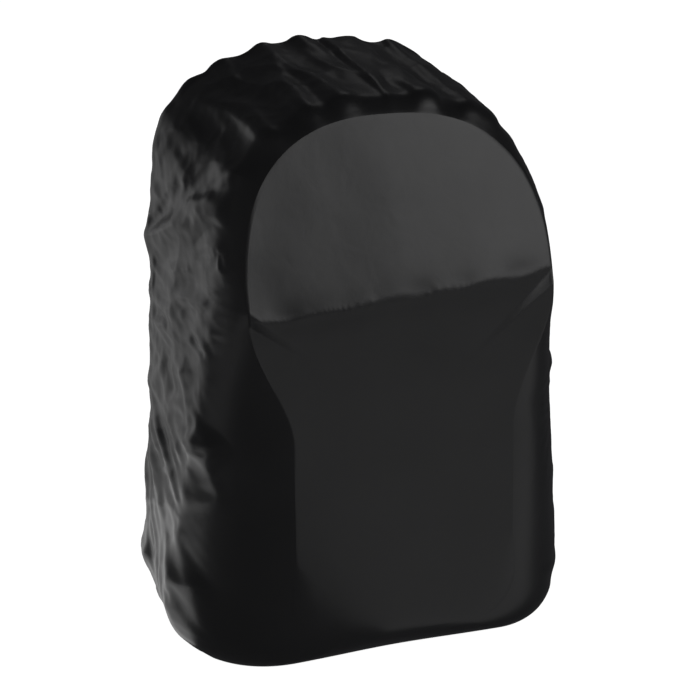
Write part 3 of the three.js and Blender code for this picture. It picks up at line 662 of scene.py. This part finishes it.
def soften_seam(cloth, seam):
    """Rounds the fold at the seam along the base, and keeps it crisp further up."""
    keep = smooth((cloth[seam, :, 2] - 0.05) / 0.06)[None, :, None]
    rows = np.arange(len(cloth))[:, None, None]
    near = np.exp(-(((rows - seam) / SEAM_REACH) ** 2)) * lerp(1.0, 0.01, keep)
    for _ in range(SEAM_SOFTNESS):
        middle = cloth.copy()
        middle[1:-1] = (cloth[:-2] + cloth[2:]) / 2
        cloth = lerp(cloth, middle, near * 0.8)
    return cloth


def eased(points):
    """Takes out ripples that are finer than a coated cloth holds."""
    around = (np.roll(points, 1, 1) + np.roll(points, -1, 1)) / 2
    middle = (around[1:-1] + (points[:-2] + points[2:]) / 2) / 2
    return np.concatenate([points[:1], lerp(points[1:-1], middle, 0.6), points[-1:]])


def between_rows(grid):
    """The grid with a row half way between each two."""
    fine = np.repeat(grid, 2, 0)[:-1].astype(float)
    fine[1::2] = (grid[:-1] + grid[1:]) / 2
    return fine


def refine(grid):
    """Twice as many rows and columns, on smooth curves through the old points."""
    before, after, far = np.roll(grid, 1, 1), np.roll(grid, -1, 1), np.roll(grid, -2, 1)
    between = (9 * (grid + after) - before - far) / 16
    wide = np.stack([grid, between], 2).reshape(len(grid), -1, 3)
    ends = extended(wide)
    fine = between_rows(wide)
    fine[1::2] = (9 * (ends[1:-2] + ends[2:-1]) - ends[:-3] - ends[3:]) / 16
    return fine


def crumpled(cloth, around, band):
    """Small creases: sharp ones on the band, faint ones on the front, gathers at the hem."""
    run, depth, lip = (between_rows(np.repeat(a, 2, 1)) for a in (band.run, band.depth, band.lip))
    up, side = band.sides(around)
    small = (facets((up + depth * 0.3) / 0.026, depth / 0.050, side * 7.1 + 3) - 0.5) * CREASE_DEPTH
    small = small + noise_at(up / 0.008, depth / 0.012, side * 1.9) * CREASE_DEPTH * 0.04
    gather = (facets(around / GATHER_PITCH, depth / 0.045, 0.4) - 0.5) * 2 * GATHER_DEPTH
    low = np.repeat(smooth(band.points[0, :, 2] / 0.03), 2)
    lift = np.zeros(cloth.shape[:2])
    lift[SEAM:] = small * smooth(run / 0.2) * low + gather * smooth(lip / 0.02)
    lift[:SEAM] = noise_at(cloth[:SEAM, :, 0] / 0.06, cloth[:SEAM, :, 2] / 0.05, 4.4) * FRONT_CREASE
    cloth = cloth + grid_normals(cloth) * lift[..., None]
    cloth[..., 2] = np.maximum(cloth[..., 2], FLOOR_GAP)
    return cloth


def two_skins(name, rows, uv, outer, inner, middle=False):
    """A sheet from rows that wrap round: a face, a lining, and closed edges or a closed middle."""
    count, around = rows.shape[:2]
    points = np.concatenate([rows, rows - grid_normals(rows) * CLOTH_THICK]).reshape(-1, 3)
    flat = np.concatenate([uv, uv]).reshape(-1, 2)
    quads = grid_faces(count, around, True)
    half = count * around
    ring = np.arange(around)
    ahead = (ring + 1) % around
    last = (count - 1) * around
    rim = np.stack([last + ring, half + last + ring, half + last + ahead, last + ahead], -1)
    faces = quads.tolist() + (quads[:, ::-1] + half).tolist() + rim.tolist()
    lined = [0] * len(quads) + [1] * len(quads) + [0] * 2 * around
    sharp = [last]
    if middle:
        points = np.concatenate([points, [rows[0].mean(0), rows[0].mean(0) + (0, CLOTH_THICK, 0)]])
        flat = np.concatenate([flat, [uv[0].mean(0)] * 2])
        faces += [(2 * half, a, b) for a, b in zip(ring, ahead)]
        faces += [(2 * half + 1, half + b, half + a) for a, b in zip(ring, ahead)]
        lined += [1] * around
    else:
        faces += np.stack([half + ring, ring, ahead, half + ahead], -1).tolist()
        sharp.append(0)
    made = new_object(name, points, faces, outer)
    made.data.materials.append(inner)
    made.data.polygons.foreach_set("material_index", lined)
    crisp = {frozenset((start + skin + a, start + skin + b)) for start in sharp for skin in (0, half)
             for a, b in zip(ring.tolist(), ahead.tolist())}
    pairs = np.zeros(len(made.data.edges) * 2, np.int32)
    made.data.edges.foreach_get("vertices", pairs)
    edges = pairs.reshape(-1, 2).tolist()
    made.data.edges.foreach_set("use_edge_sharp", [frozenset(edge) in crisp for edge in edges])
    set_uv(made, flat)
    return made


def grid_area(points):
    along = np.diff(points, axis=0)
    around = np.roll(points, -1, 1) - points
    return float(np.linalg.norm(np.cross(along, around[:-1]), axis=-1).sum())


def make_cover():
    """The rain cover: front panel, simulated band, casing, elastic, tape and stitching."""
    nylon, lining = FINISH["coated_nylon"], FINISH["cover_lining"]
    band = Band()
    settled = eased(settle(band.seeded(), band.cut(), band.hold()))
    coarse = soften_seam(np.concatenate([front_rows(settled[0]), settled]), SEAM_ROW)
    around = np.arange(FINE_AROUND)[None, :] / FINE_AROUND * band.perimeter
    cloth = crumpled(refine(coarse), around, band)
    panel, side_rows = cloth[:SEAM + 1], cloth[SEAM:]
    side_uv = np.stack(np.broadcast_arrays(around, arc_lengths(side_rows, 0)), -1)
    front = two_skins("cover_front_cloth", panel, panel[..., ::2], nylon, lining, middle=True)
    side = two_skins("cover_gusset_cloth", side_rows, side_uv, nylon, lining)
    path = back_points(even_shares(HEM_AROUND), ELASTIC_INSET, ELASTIC_Y)
    bunch = facets(np.arange(HEM_AROUND) * band.perimeter / HEM_AROUND / BUNCH_PITCH, 0.3, 0.7)
    casing = tube("cover_hem_casing", path, CASING_RADIUS * lerp(0.92, 1.22, bunch), nylon, True, 16)
    elastic = tube("cover_hem_elastic_cord", path, ELASTIC_RADIUS, FINISH["elastic"], True, 12)
    near = slice(SEAM - 3, SEAM + 4)
    strip = cloth[near] - grid_normals(cloth)[near] * TAPE_GAP
    tape = two_skins("cover_seam_tape_cloth", strip, strip[..., ::2], FINISH["lining"], FINISH["lining"])
    for piece, slot, *nodes in ((front, "coated_nylon", "cover_front"),
                                (side, "coated_nylon", "cover_gusset", "cover_hem"),
                                (casing, "coated_nylon", "cover_hem"),
                                (elastic, "elastic", "cover_hem_elastic"),
                                (tape, "lining", "cover_seam_tape")):
        sewn(piece, slot, *nodes, body="cover")
    seam_line = strip[2] + (0, SEAM_STITCH_IN, 0)
    stitched("cover_seam_stitching", [seam_line], BACKWARD, "coated_nylon", "cover")
    deep = float(band.depth[-1].mean())
    grid_area(band.cut()) / deep


# ---- the bag under the cover ----
SHELL_Y = -0.066
SHELL_LEAN = 0.037
ARC_Z = 0.318
ARC_RADIUS = 0.104
TAPE_STITCH = 0.0135
TAPE_LIFT = 0.0012
CHAIN_LIFT = 0.0015
BAG_INSET = 0.009
BAG_FRONT_HALF = 0.166
SHELL_EDGE_Y = -0.026
PAD_BASE = 0.0913
PAD_THICK = 0.0120
PIPING = 0.0017
BACK_PIPING_Y = 0.0888
GIRTH_Y = 0.03
YOKE_Z = 0.396


def bag_ring(share, y, inset):
    """The bag's own outline at depth y; its sides go straight to the front."""
    bx, bz = back_ring(share, inset)
    fx, fz = outline(share, BAG_FRONT_HALF - inset, FRONT_SHOULDER_HALF - inset, inset,
                     HEIGHT - TOP_DROP - inset, ARCH_HEIGHT - inset, CORNER_RADIUS - inset)
    t = np.minimum((BACK_Y - y) / (BACK_Y - side_end_y(fz)), 1)
    return np.stack([lerp(bx, fx, t), np.full_like(bx, y), lerp(bz, fz, t)], -1)


def on_front(x, z, lift):
    """A point on the leaning front of the bag."""
    return (x, SHELL_Y + SHELL_LEAN * z - lift, z)


def zip_arc(radius, lift):
    return slack([on_front(radius * math.cos(a), ARC_Z + radius * math.sin(a), lift)
                  for a in np.linspace(0, math.pi, 160)])


def box_cross(x, y, z, width, height):
    """A sewn rectangle with a cross in it, in a plane that faces the back."""
    w, h = width / 2, height / 2
    a, b, c, d = [(x + u, y, z + v) for u, v in ((-w, -h), (w, -h), (w, h), (-w, h))]
    return [[a, b, c, d, a], [a, c], [b, d]]


def cloth_sheet(length=None):
    """Does nothing: a strip's running length, when given, is not used."""
    if length is not None:
        return


def make_shell():
    """Panels of the bag, its zips, and the piping and stitching that join them."""
    web = FINISH["webbing"]
    share = even_shares(400)
    girth = float(arc_lengths(bag_ring(share, GIRTH_Y, BAG_INSET), 0)[-1])
    for node in ("side_gusset", "front_shell", "opening_flap", "front_pocket", "back_panel",
                 "divider_sleeve"):
        slot = "lining" if node == "divider_sleeve" else "pack_cloth"
        piece = sewn(softened(node, FINISH[slot]), slot, node)
        cloth_sheet(length=girth if node == "side_gusset" else None)
    sewn(softened("base_boot", FINISH["boot_rubber"], 0.005), "boot_rubber", "base_boot")
    for node in ("main_zip_tape_inner", "main_zip_tape_outer", "pocket_zip_tape_lower",
                 "pocket_zip_tape_upper"):
        sewn(softened(node, web, 0.005, 0), "webbing", node)
    leaning = Vector((0, -1, SHELL_LEAN)).normalized()
    low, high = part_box("pocket_zip_chain")
    middle = (low + high) / 2
    line = slack([(x, middle.y, middle.z) for x in np.linspace(low.x, high.x, 60)])
    for name, run in (("main_zip", zip_arc(ARC_RADIUS, CHAIN_LIFT)), ("pocket_zip", line)):
        coil = beads(name + "_coil", [run], leaning, FINISH["zip_coil"], **COIL)
        sewn(coil, "moulded_plastic", name + "_chain")
    lines = [zip_arc(ARC_RADIUS + d, TAPE_LIFT) for d in (-TAPE_STITCH, TAPE_STITCH)]
    lines += [line + (0, TAPE_LIFT, d) for d in (-TAPE_STITCH, TAPE_STITCH)]
    stitched("zip_stitching", lines, leaning, "webbing")
    for name, y in (("front_piping", SHELL_EDGE_Y), ("back_piping", BACK_PIPING_Y)):
        route = slack(bag_ring(share, y, BAG_INSET + 0.0006))
        sewn(tube(name, route, PIPING, web, True, 12), "webbing")


# Each pad: place, size with corner radius, spacing of its grooves, and their axis.
PADS = {
    "back_pad_left": ((-0.046, 0.260), (0.068, 0.216, 0.022), 0.036, 1),
    "back_pad_right": ((0.046, 0.260), (0.068, 0.216, 0.022), 0.036, 1),
    "lumbar_pad": ((0, 0.122), (0.158, 0.046, 0.016), 0.0395, 0),
}
GROOVE_WIDTH = 0.0024
GROOVE_DEPTH = 0.0042


def make_pads():
    """Foam pads with sewn grooves and bound edges, and the yoke of the straps."""
    for node, (place, size, spacing, axis) in PADS.items():
        def groove(flat):
            off = ((flat[:, axis] / spacing) % 1 - 0.5) * spacing
            return GROOVE_DEPTH * np.exp(-((off / GROOVE_WIDTH) ** 2))

        ring = rounded_ring(*size, *place)
        pad = cushion(node + "_cushion", ring, PAD_BASE, PAD_THICK, FINISH["mesh_foam"], 0.005, 0.0016,
                      groove)
        sewn(pad, "mesh_foam", node)
        edge = np.insert(ring, 1, PAD_BASE + 0.003, axis=1)
        sewn(tube(node + "_binding", edge, 0.0019, FINISH["webbing"], True), "webbing")
    ring = rounded_ring(0.132, 0.020, 0.005, 0, YOKE_Z)
    yoke = cushion("strap_yoke_cushion", ring, PAD_BASE, 0.0056, FINISH["pack_cloth"], 0.0016, 0.0004)
    sewn(yoke, "pack_cloth", "strap_yoke")
    lines = []
    for x in (-0.050, -0.020, 0.020, 0.050):
        lines += box_cross(x, PAD_BASE + 0.0060, YOKE_Z, 0.022, 0.013)
    stitched("yoke_stitching", lines, BACKWARD, "pack_cloth")


# Stops of the folded straps and of their webbing, in millimetres, for the side with X above 0.
MM = 0.001
STRAP_Y = 111.3
STRAP_X = (34, 35, 37, 45, 56, 67, 75)
STRAP_Z = (404, 387, 366, 330, 292, 254, 222)
STRAP_BACK = (8, 5, 0, 0, 0, 0, 0)
STRAP_WIDTH = (46, 50, 54, 56, 54, 46, 34)
TAIL_X = (79, 88, 95, 96, 96, 96)
TAIL_Y = (108.3, 106.8, 102.3, 97.5, 95.3, 95.3)
TAIL_Z = (208, 176, 140, 102, 84, 70)


def edge_lines(route, width, inset, lift, count=80):
    """Two lines along a strap, inset from its edges and lifted off its middle."""
    points, along, _ = route_frames(route, count)
    across = unit(np.cross(along, BACKWARD))
    reach = across * (width_along(width, count)[:, None] / 2 - inset)
    rise = np.cross(across, along) * lift
    return [points + side * reach + rise for side in (-1, 1)]


def make_harness():
    """Shoulder straps, their webbing, and the anchors, ring tabs and handle."""
    foam, web = FINISH["mesh_foam"], FINISH["webbing"]
    for name, side in (("left", -1), ("right", 1)):
        stops = np.array([(side * x, STRAP_Y - b, z) for x, b, z in zip(STRAP_X, STRAP_BACK, STRAP_Z)]) * MM
        width = np.array(STRAP_WIDTH) * MM
        strap = ribbon(f"shoulder_strap_{name}_pad", stops, width, 0.0090, foam, 90, 0.0012, 0.5)
        sewn(strap, "mesh_foam", "shoulder_strap_" + name)
        for k, edge in enumerate(edge_lines(stops, width, 0.0004, 0)):
            sewn(tube(f"shoulder_strap_{name}_binding_{k + 1}", edge, 0.0022, web), "webbing")
        lines = edge_lines(stops, width, 0.0055, 0.0052)
        stitched(f"shoulder_strap_{name}_stitching", lines, BACKWARD, "mesh_foam")
        tail = np.array([(side * x, y, z) for x, y, z in zip(TAIL_X, TAIL_Y, TAIL_Z)]) * MM
        piece = ribbon(f"strap_webbing_{name}_weave", tail, 0.024, 0.0018, web, 110, 0.0, 0.25)
        sewn(piece, "webbing", "strap_webbing_" + name)
        for kind in ("webbing_anchor_", "handle_anchor_", "ring_tab_upper_", "ring_tab_lower_"):
            sewn(softened(kind + name, web, 0.0025, 1), "webbing", kind + name)
        lines = box_cross(side * 0.096, 0.0968, 0.0755, 0.016, 0.009)
        lines += box_cross(side * 0.034, 0.0953, 0.455, 0.012, 0.012)
        stitched(f"anchor_{name}_stitching", lines, BACKWARD, "webbing")
    sewn(softened("haul_handle", web, 0.0025, 1), "webbing", "haul_handle", body="haul_handle")


def refinish(node, material):
    """A CAD part whose shape is right keeps its mesh and gets a finished material."""
    for slot in NODES[node].material_slots:
        slot.link = "OBJECT"
        slot.material = material


def make_hardware():
    refinish("frame_sheet", FINISH["board"])
    for node in ("main_slider", "main_pull", "pocket_slider", "pocket_pull",
                 "ladder_lock_left", "ladder_lock_right"):
        refinish(node, FINISH["moulded_plastic"])
    for place in ("upper_left", "upper_right", "lower_left", "lower_right"):
        refinish("lashing_ring_" + place, FINISH["ring_steel"])


# ---- materials ----
WAVES_PER_METRE = 3.1831


class Shader:
    """A Principled material with small node chains."""

    def __init__(self, name, color, roughness, **constants):
        self.material = bpy.data.materials.new(name)
        self.material.use_nodes = True
        self.tree = self.material.node_tree
        self.inputs = self.tree.nodes["Principled BSDF"].inputs
        self.color = color
        self.inputs["Base Color"].default_value = (*color, 1)
        self.inputs["Roughness"].default_value = roughness
        for key, value in constants.items():
            self.inputs[key.replace("_", " ")].default_value = value
        self.bump_end = None

    def node(self, kind, inputs=None, **settings):
        made = self.tree.nodes.new(kind)
        for key, value in settings.items():
            setattr(made, key, value)
        for key, value in (inputs or {}).items():
            if isinstance(value, bpy.types.NodeSocket):
                self.tree.links.new(value, made.inputs[key])
            else:
                made.inputs[key].default_value = value
        return made

    def place(self, source, scale=(1, 1, 1)):
        coordinates = self.node("ShaderNodeTexCoord").outputs[source]
        return self.node("ShaderNodeMapping", {0: coordinates, "Scale": scale}).outputs[0]

    def noise(self, place, scale, detail=3.0, distortion=0.0):
        return self.node("ShaderNodeTexNoise", {"Vector": place, "Scale": scale, "Detail": detail,
                                                "Distortion": distortion}).outputs["Fac"]

    def wave(self, place, pitch, axis):
        """Stripes with that pitch in metres, across one axis."""
        return self.node("ShaderNodeTexWave", {"Vector": place, "Scale": 1 / pitch / WAVES_PER_METRE},
                         bands_direction=axis, wave_profile="SIN").outputs["Fac"]

    def mix(self, kind, a, b):
        return self.node("ShaderNodeMath", {0: a, 1: b}, operation=kind).outputs[0]

    def blend(self, a, share_a, b, share_b):
        return self.mix("ADD", self.mix("MULTIPLY", a, share_a), self.mix("MULTIPLY", b, share_b))

    def vary_color(self, value, low, high):
        """The colour goes from low to high times its base along value."""
        ends = [tuple(c * k for c in self.color) + (1,) for k in (low, high)]
        mixed = self.node("ShaderNodeMix", {0: value, 6: ends[0], 7: ends[1]}, data_type="RGBA")
        self.tree.links.new(mixed.outputs[2], self.inputs["Base Color"])

    def vary_roughness(self, value, low, high):
        spread = self.node("ShaderNodeMapRange", {"Value": value, "To Min": low, "To Max": high})
        self.tree.links.new(spread.outputs[0], self.inputs["Roughness"])

    def bump(self, value, depth, strength):
        inputs = {"Height": value, "Distance": depth, "Strength": strength}
        if self.bump_end is not None:
            inputs["Normal"] = self.bump_end
        self.bump_end = self.node("ShaderNodeBump", inputs).outputs[0]
        self.tree.links.new(self.bump_end, self.inputs["Normal"])

    def glow(self, strength):
        self.inputs["Emission Color"].default_value = (1, 1, 1, 1)
        self.inputs["Emission Strength"].default_value = strength

    def cells(self, place, scale):
        return self.node("ShaderNodeTexVoronoi", {"Vector": place, "Scale": scale}).outputs["Distance"]

    def threads(self, place, pitch):
        """Plain weave along the cloth's own length and width."""
        return self.mix("MULTIPLY", self.wave(place, pitch, "X"), self.wave(place, pitch, "Y"))

    def weave(self, place, pitch):
        """Plain weave in whichever plane the cloth lies."""
        over = self.mix("ADD", self.wave(place, pitch, "X"), self.wave(place, pitch, "Y"))
        return self.mix("MULTIPLY", over, self.wave(place, pitch, "Z"))


def coated_nylon():
    """Satin black face of the rain cover: a fine plain weave under a thin coating."""
    shader = Shader("coated_nylon", (0.0044, 0.0044, 0.0047), 0.36, Specular_IOR_Level=0.5)
    place = shader.place("Object")
    clouds = shader.noise(place, 14, 4)
    scuffs = shader.noise(place, 90, 5, 1.5)
    shader.vary_color(clouds, 0.8, 1.25)
    shader.vary_roughness(shader.blend(clouds, 0.7, scuffs, 0.3), 0.25, 0.36)
    shader.bump(shader.threads(shader.place("UV"), 0.0011), 0.00006, 0.1)
    shader.bump(shader.noise(place, 55, 4, 0.6), 0.0006, 0.25)
    return shader.material


def woven(name, color, roughness, pitch, depth, **constants):
    """A woven textile: threads at that pitch, uneven dye and a little fuzz."""
    shader = Shader(name, color, roughness, **constants)
    place = shader.place("Object")
    fibres = shader.noise(place, 900, 3)
    threads = shader.weave(place, pitch)
    shader.vary_color(shader.blend(shader.noise(place, 22, 4), 0.6, threads, 0.4), 0.7, 1.35)
    shader.vary_roughness(fibres, roughness - 0.08, roughness + 0.08)
    shader.bump(threads, depth, 0.6)
    shader.bump(fibres, depth, 0.2)
    return shader.material


def mesh_foam():
    """Knitted spacer mesh over foam: open cells with a rim of thread round each."""
    shader = Shader("mesh_foam", (0.011, 0.011, 0.012), 0.75, Sheen_Weight=0.2)
    place = shader.place("Object")
    holes = shader.cells(place, 330)
    shader.vary_color(shader.blend(holes, 1.0, shader.noise(place, 18, 4), 0.3), 0.35, 1.5)
    shader.vary_roughness(holes, 0.65, 0.85)
    shader.bump(holes, 0.0006, 0.7)
    shader.bump(shader.noise(place, 1200, 2), 0.0001, 0.3)
    return shader.material


def moulded(name, color, roughness, grain, depth, **constants):
    """Moulded plastic or rubber with its fine texture and handling scuffs."""
    shader = Shader(name, color, roughness, **constants)
    place = shader.place("Object")
    scuffs = shader.noise(place, 160, 6, 2.0)
    shader.vary_color(scuffs, 0.8, 1.4)
    shader.vary_roughness(scuffs, roughness - 0.1, roughness + 0.12)
    shader.bump(shader.cells(place, grain), depth, 0.4)
    shader.bump(shader.noise(place, 40, 3), depth * 3, 0.15)
    return shader.material


def ring_steel():
    """Bright drawn wire, brushed round the bar, a little dulled."""
    shader = Shader("ring_steel", (0.52, 0.52, 0.53), 0.28, Metallic=1.0)
    place = shader.place("Object", (1, 6, 1))
    scratches = shader.noise(place, 700, 4)
    tarnish = shader.noise(shader.place("Object"), 120, 4)
    shader.vary_color(tarnish, 0.6, 1.1)
    shader.vary_roughness(shader.mix("MULTIPLY", scratches, tarnish), 0.18, 0.6)
    shader.bump(scratches, 0.00004, 0.5)
    return shader.material


FINISH = {
    "coated_nylon": coated_nylon(),
    "cover_lining": woven("cover_lining", (0.16, 0.165, 0.17), 0.5, 0.0009, 0.00005),
    "lining": woven("lining", (0.10, 0.105, 0.11), 0.6, 0.0009, 0.00006),
    "pack_cloth": woven("pack_cloth", (0.012, 0.012, 0.013), 0.62, 0.0013, 0.00016, Sheen_Weight=0.1),
    "webbing": woven("webbing", (0.010, 0.010, 0.010), 0.68, 0.0022, 0.0003, Sheen_Weight=0.15),
    "elastic": woven("elastic", (0.014, 0.014, 0.014), 0.7, 0.0012, 0.0002, Sheen_Weight=0.2),
    "thread": woven("thread", (0.018, 0.018, 0.019), 0.45, 0.0004, 0.00004, Sheen_Weight=0.1),
    "mesh_foam": mesh_foam(),
    "boot_rubber": moulded("boot_rubber", (0.010, 0.010, 0.010), 0.62, 420, 0.00025),
    "moulded_plastic": moulded("moulded_plastic", (0.011, 0.011, 0.011), 0.42, 1400, 0.00006),
    "zip_coil": moulded("zip_coil", (0.014, 0.014, 0.015), 0.35, 1800, 0.00003),
    "board": moulded("board", (0.012, 0.012, 0.012), 0.55, 900, 0.0001),
    "ring_steel": ring_steel(),
}


# ---- studio ----
CAMERA_AZIMUTH = -22.0
CAMERA_ELEVATION = 16.4
CAMERA_DISTANCE = 1.591
CAMERA_LENS = 94.6
CAMERA_TARGET = Vector((-0.0061, 0.007, 0.2507))
BAG_MIDDLE = Vector((0, 0, 0.25))
PATCH_Z = 0.0005
FLOOR_SIDES = 64
FLOOR_REACH = 20
BACKDROP_HEIGHT = 14

# Azimuth, elevation and distance from the bag, width, height, radiance.
SOFTBOXES = {
    "side_box": (-150, 2, 1.7, 0.8, 1.0, 0.45),
    "front_box": (32, 26, 1.9, 1.0, 1.3, 1.75),
    "top_box": (152, 50, 1.6, 0.4, 0.5, 0.25),
}
# Place on the floor, width, depth, radiance.
BOUNCES = {
    "front_bounce": (0.72, -1.3, 1.44, 2.36, 0.36),
    "back_bounce": (-0.635, 1.1, 0.93, 1.3, 0.40),
    "near_bounce": (-0.39, 0.21, 0.44, 0.46, 0.85),
    "left_bounce": (-1.35, -0.1, 0.6, 0.8, 0.40),
}


def direction(azimuth, elevation):
    a, e = math.radians(azimuth), math.radians(elevation)
    return Vector((math.sin(a) * math.cos(e), -math.cos(a) * math.cos(e), math.sin(e)))


def aim(obj, place, target):
    obj.location = place
    obj.rotation_mode = "QUATERNION"
    obj.rotation_quaternion = (Vector(target) - Vector(place)).to_track_quat("-Z", "Y")
    bpy.context.scene.collection.objects.link(obj)


def add_camera():
    camera = bpy.data.objects.new("camera", bpy.data.cameras.new("camera"))
    camera.data.lens = CAMERA_LENS
    back = direction(CAMERA_AZIMUTH, CAMERA_ELEVATION)
    aim(camera, CAMERA_TARGET + back * CAMERA_DISTANCE, CAMERA_TARGET)
    bpy.context.scene.camera = camera


def add_softbox(name, azimuth, elevation, distance, width, height, radiance):
    lamp = bpy.data.lights.new(name, "AREA")
    lamp.shape = "RECTANGLE"
    lamp.size = width
    lamp.size_y = height
    lamp.energy = radiance * width * height * math.pi
    box = bpy.data.objects.new(name, lamp)
    aim(box, BAG_MIDDLE + direction(azimuth, elevation) * distance, BAG_MIDDLE)
    box.visible_camera = False


def add_sheet_of_light(name, x, y, width, depth, radiance):
    """A pale patch of the studio floor that only the reflections see."""
    shader = Shader(name, (0, 0, 0), 1.0)
    shader.glow(radiance)
    corners = [(x + u * width / 2, y + v * depth / 2, PATCH_Z)
               for u, v in ((-1, -1), (1, -1), (1, 1), (-1, 1))]
    patch = new_object(name, corners, [(0, 1, 2, 3)], shader.material)
    patch.visible_camera = False
    patch.visible_diffuse = False
    patch.visible_shadow = False


def add_studio():
    world = bpy.data.worlds.new("studio")
    bpy.context.scene.world = world
    world.use_nodes = True
    world.node_tree.nodes["Background"].inputs[0].default_value = (0.04, 0.04, 0.042, 1)
    shader = Shader("studio_floor", (0.25, 0.25, 0.25), 0.9)
    shader.glow(0.98)
    turn = np.linspace(0, 2 * math.pi, FLOOR_SIDES, endpoint=False)
    ring = np.stack([np.cos(turn), np.sin(turn), 0 * turn], -1) * FLOOR_REACH
    rows = np.stack([ring * 0.001, ring, ring + (0, 0, BACKDROP_HEIGHT)])
    faces = grid_faces(3, FLOOR_SIDES, True)[:, ::-1].tolist() + [range(FLOOR_SIDES)]
    floor = new_object("floor", rows.reshape(-1, 3), faces, shader.material, smooth_shading=False)
    floor.visible_glossy = False
    for name, numbers in SOFTBOXES.items():
        add_softbox(name, *numbers)
    for name, numbers in BOUNCES.items():
        add_sheet_of_light(name, *numbers)
    bpy.context.scene.view_settings.view_transform = "Standard"


make_cover()
make_shell()
make_pads()
make_harness()
make_hardware()
add_camera()
add_studio()
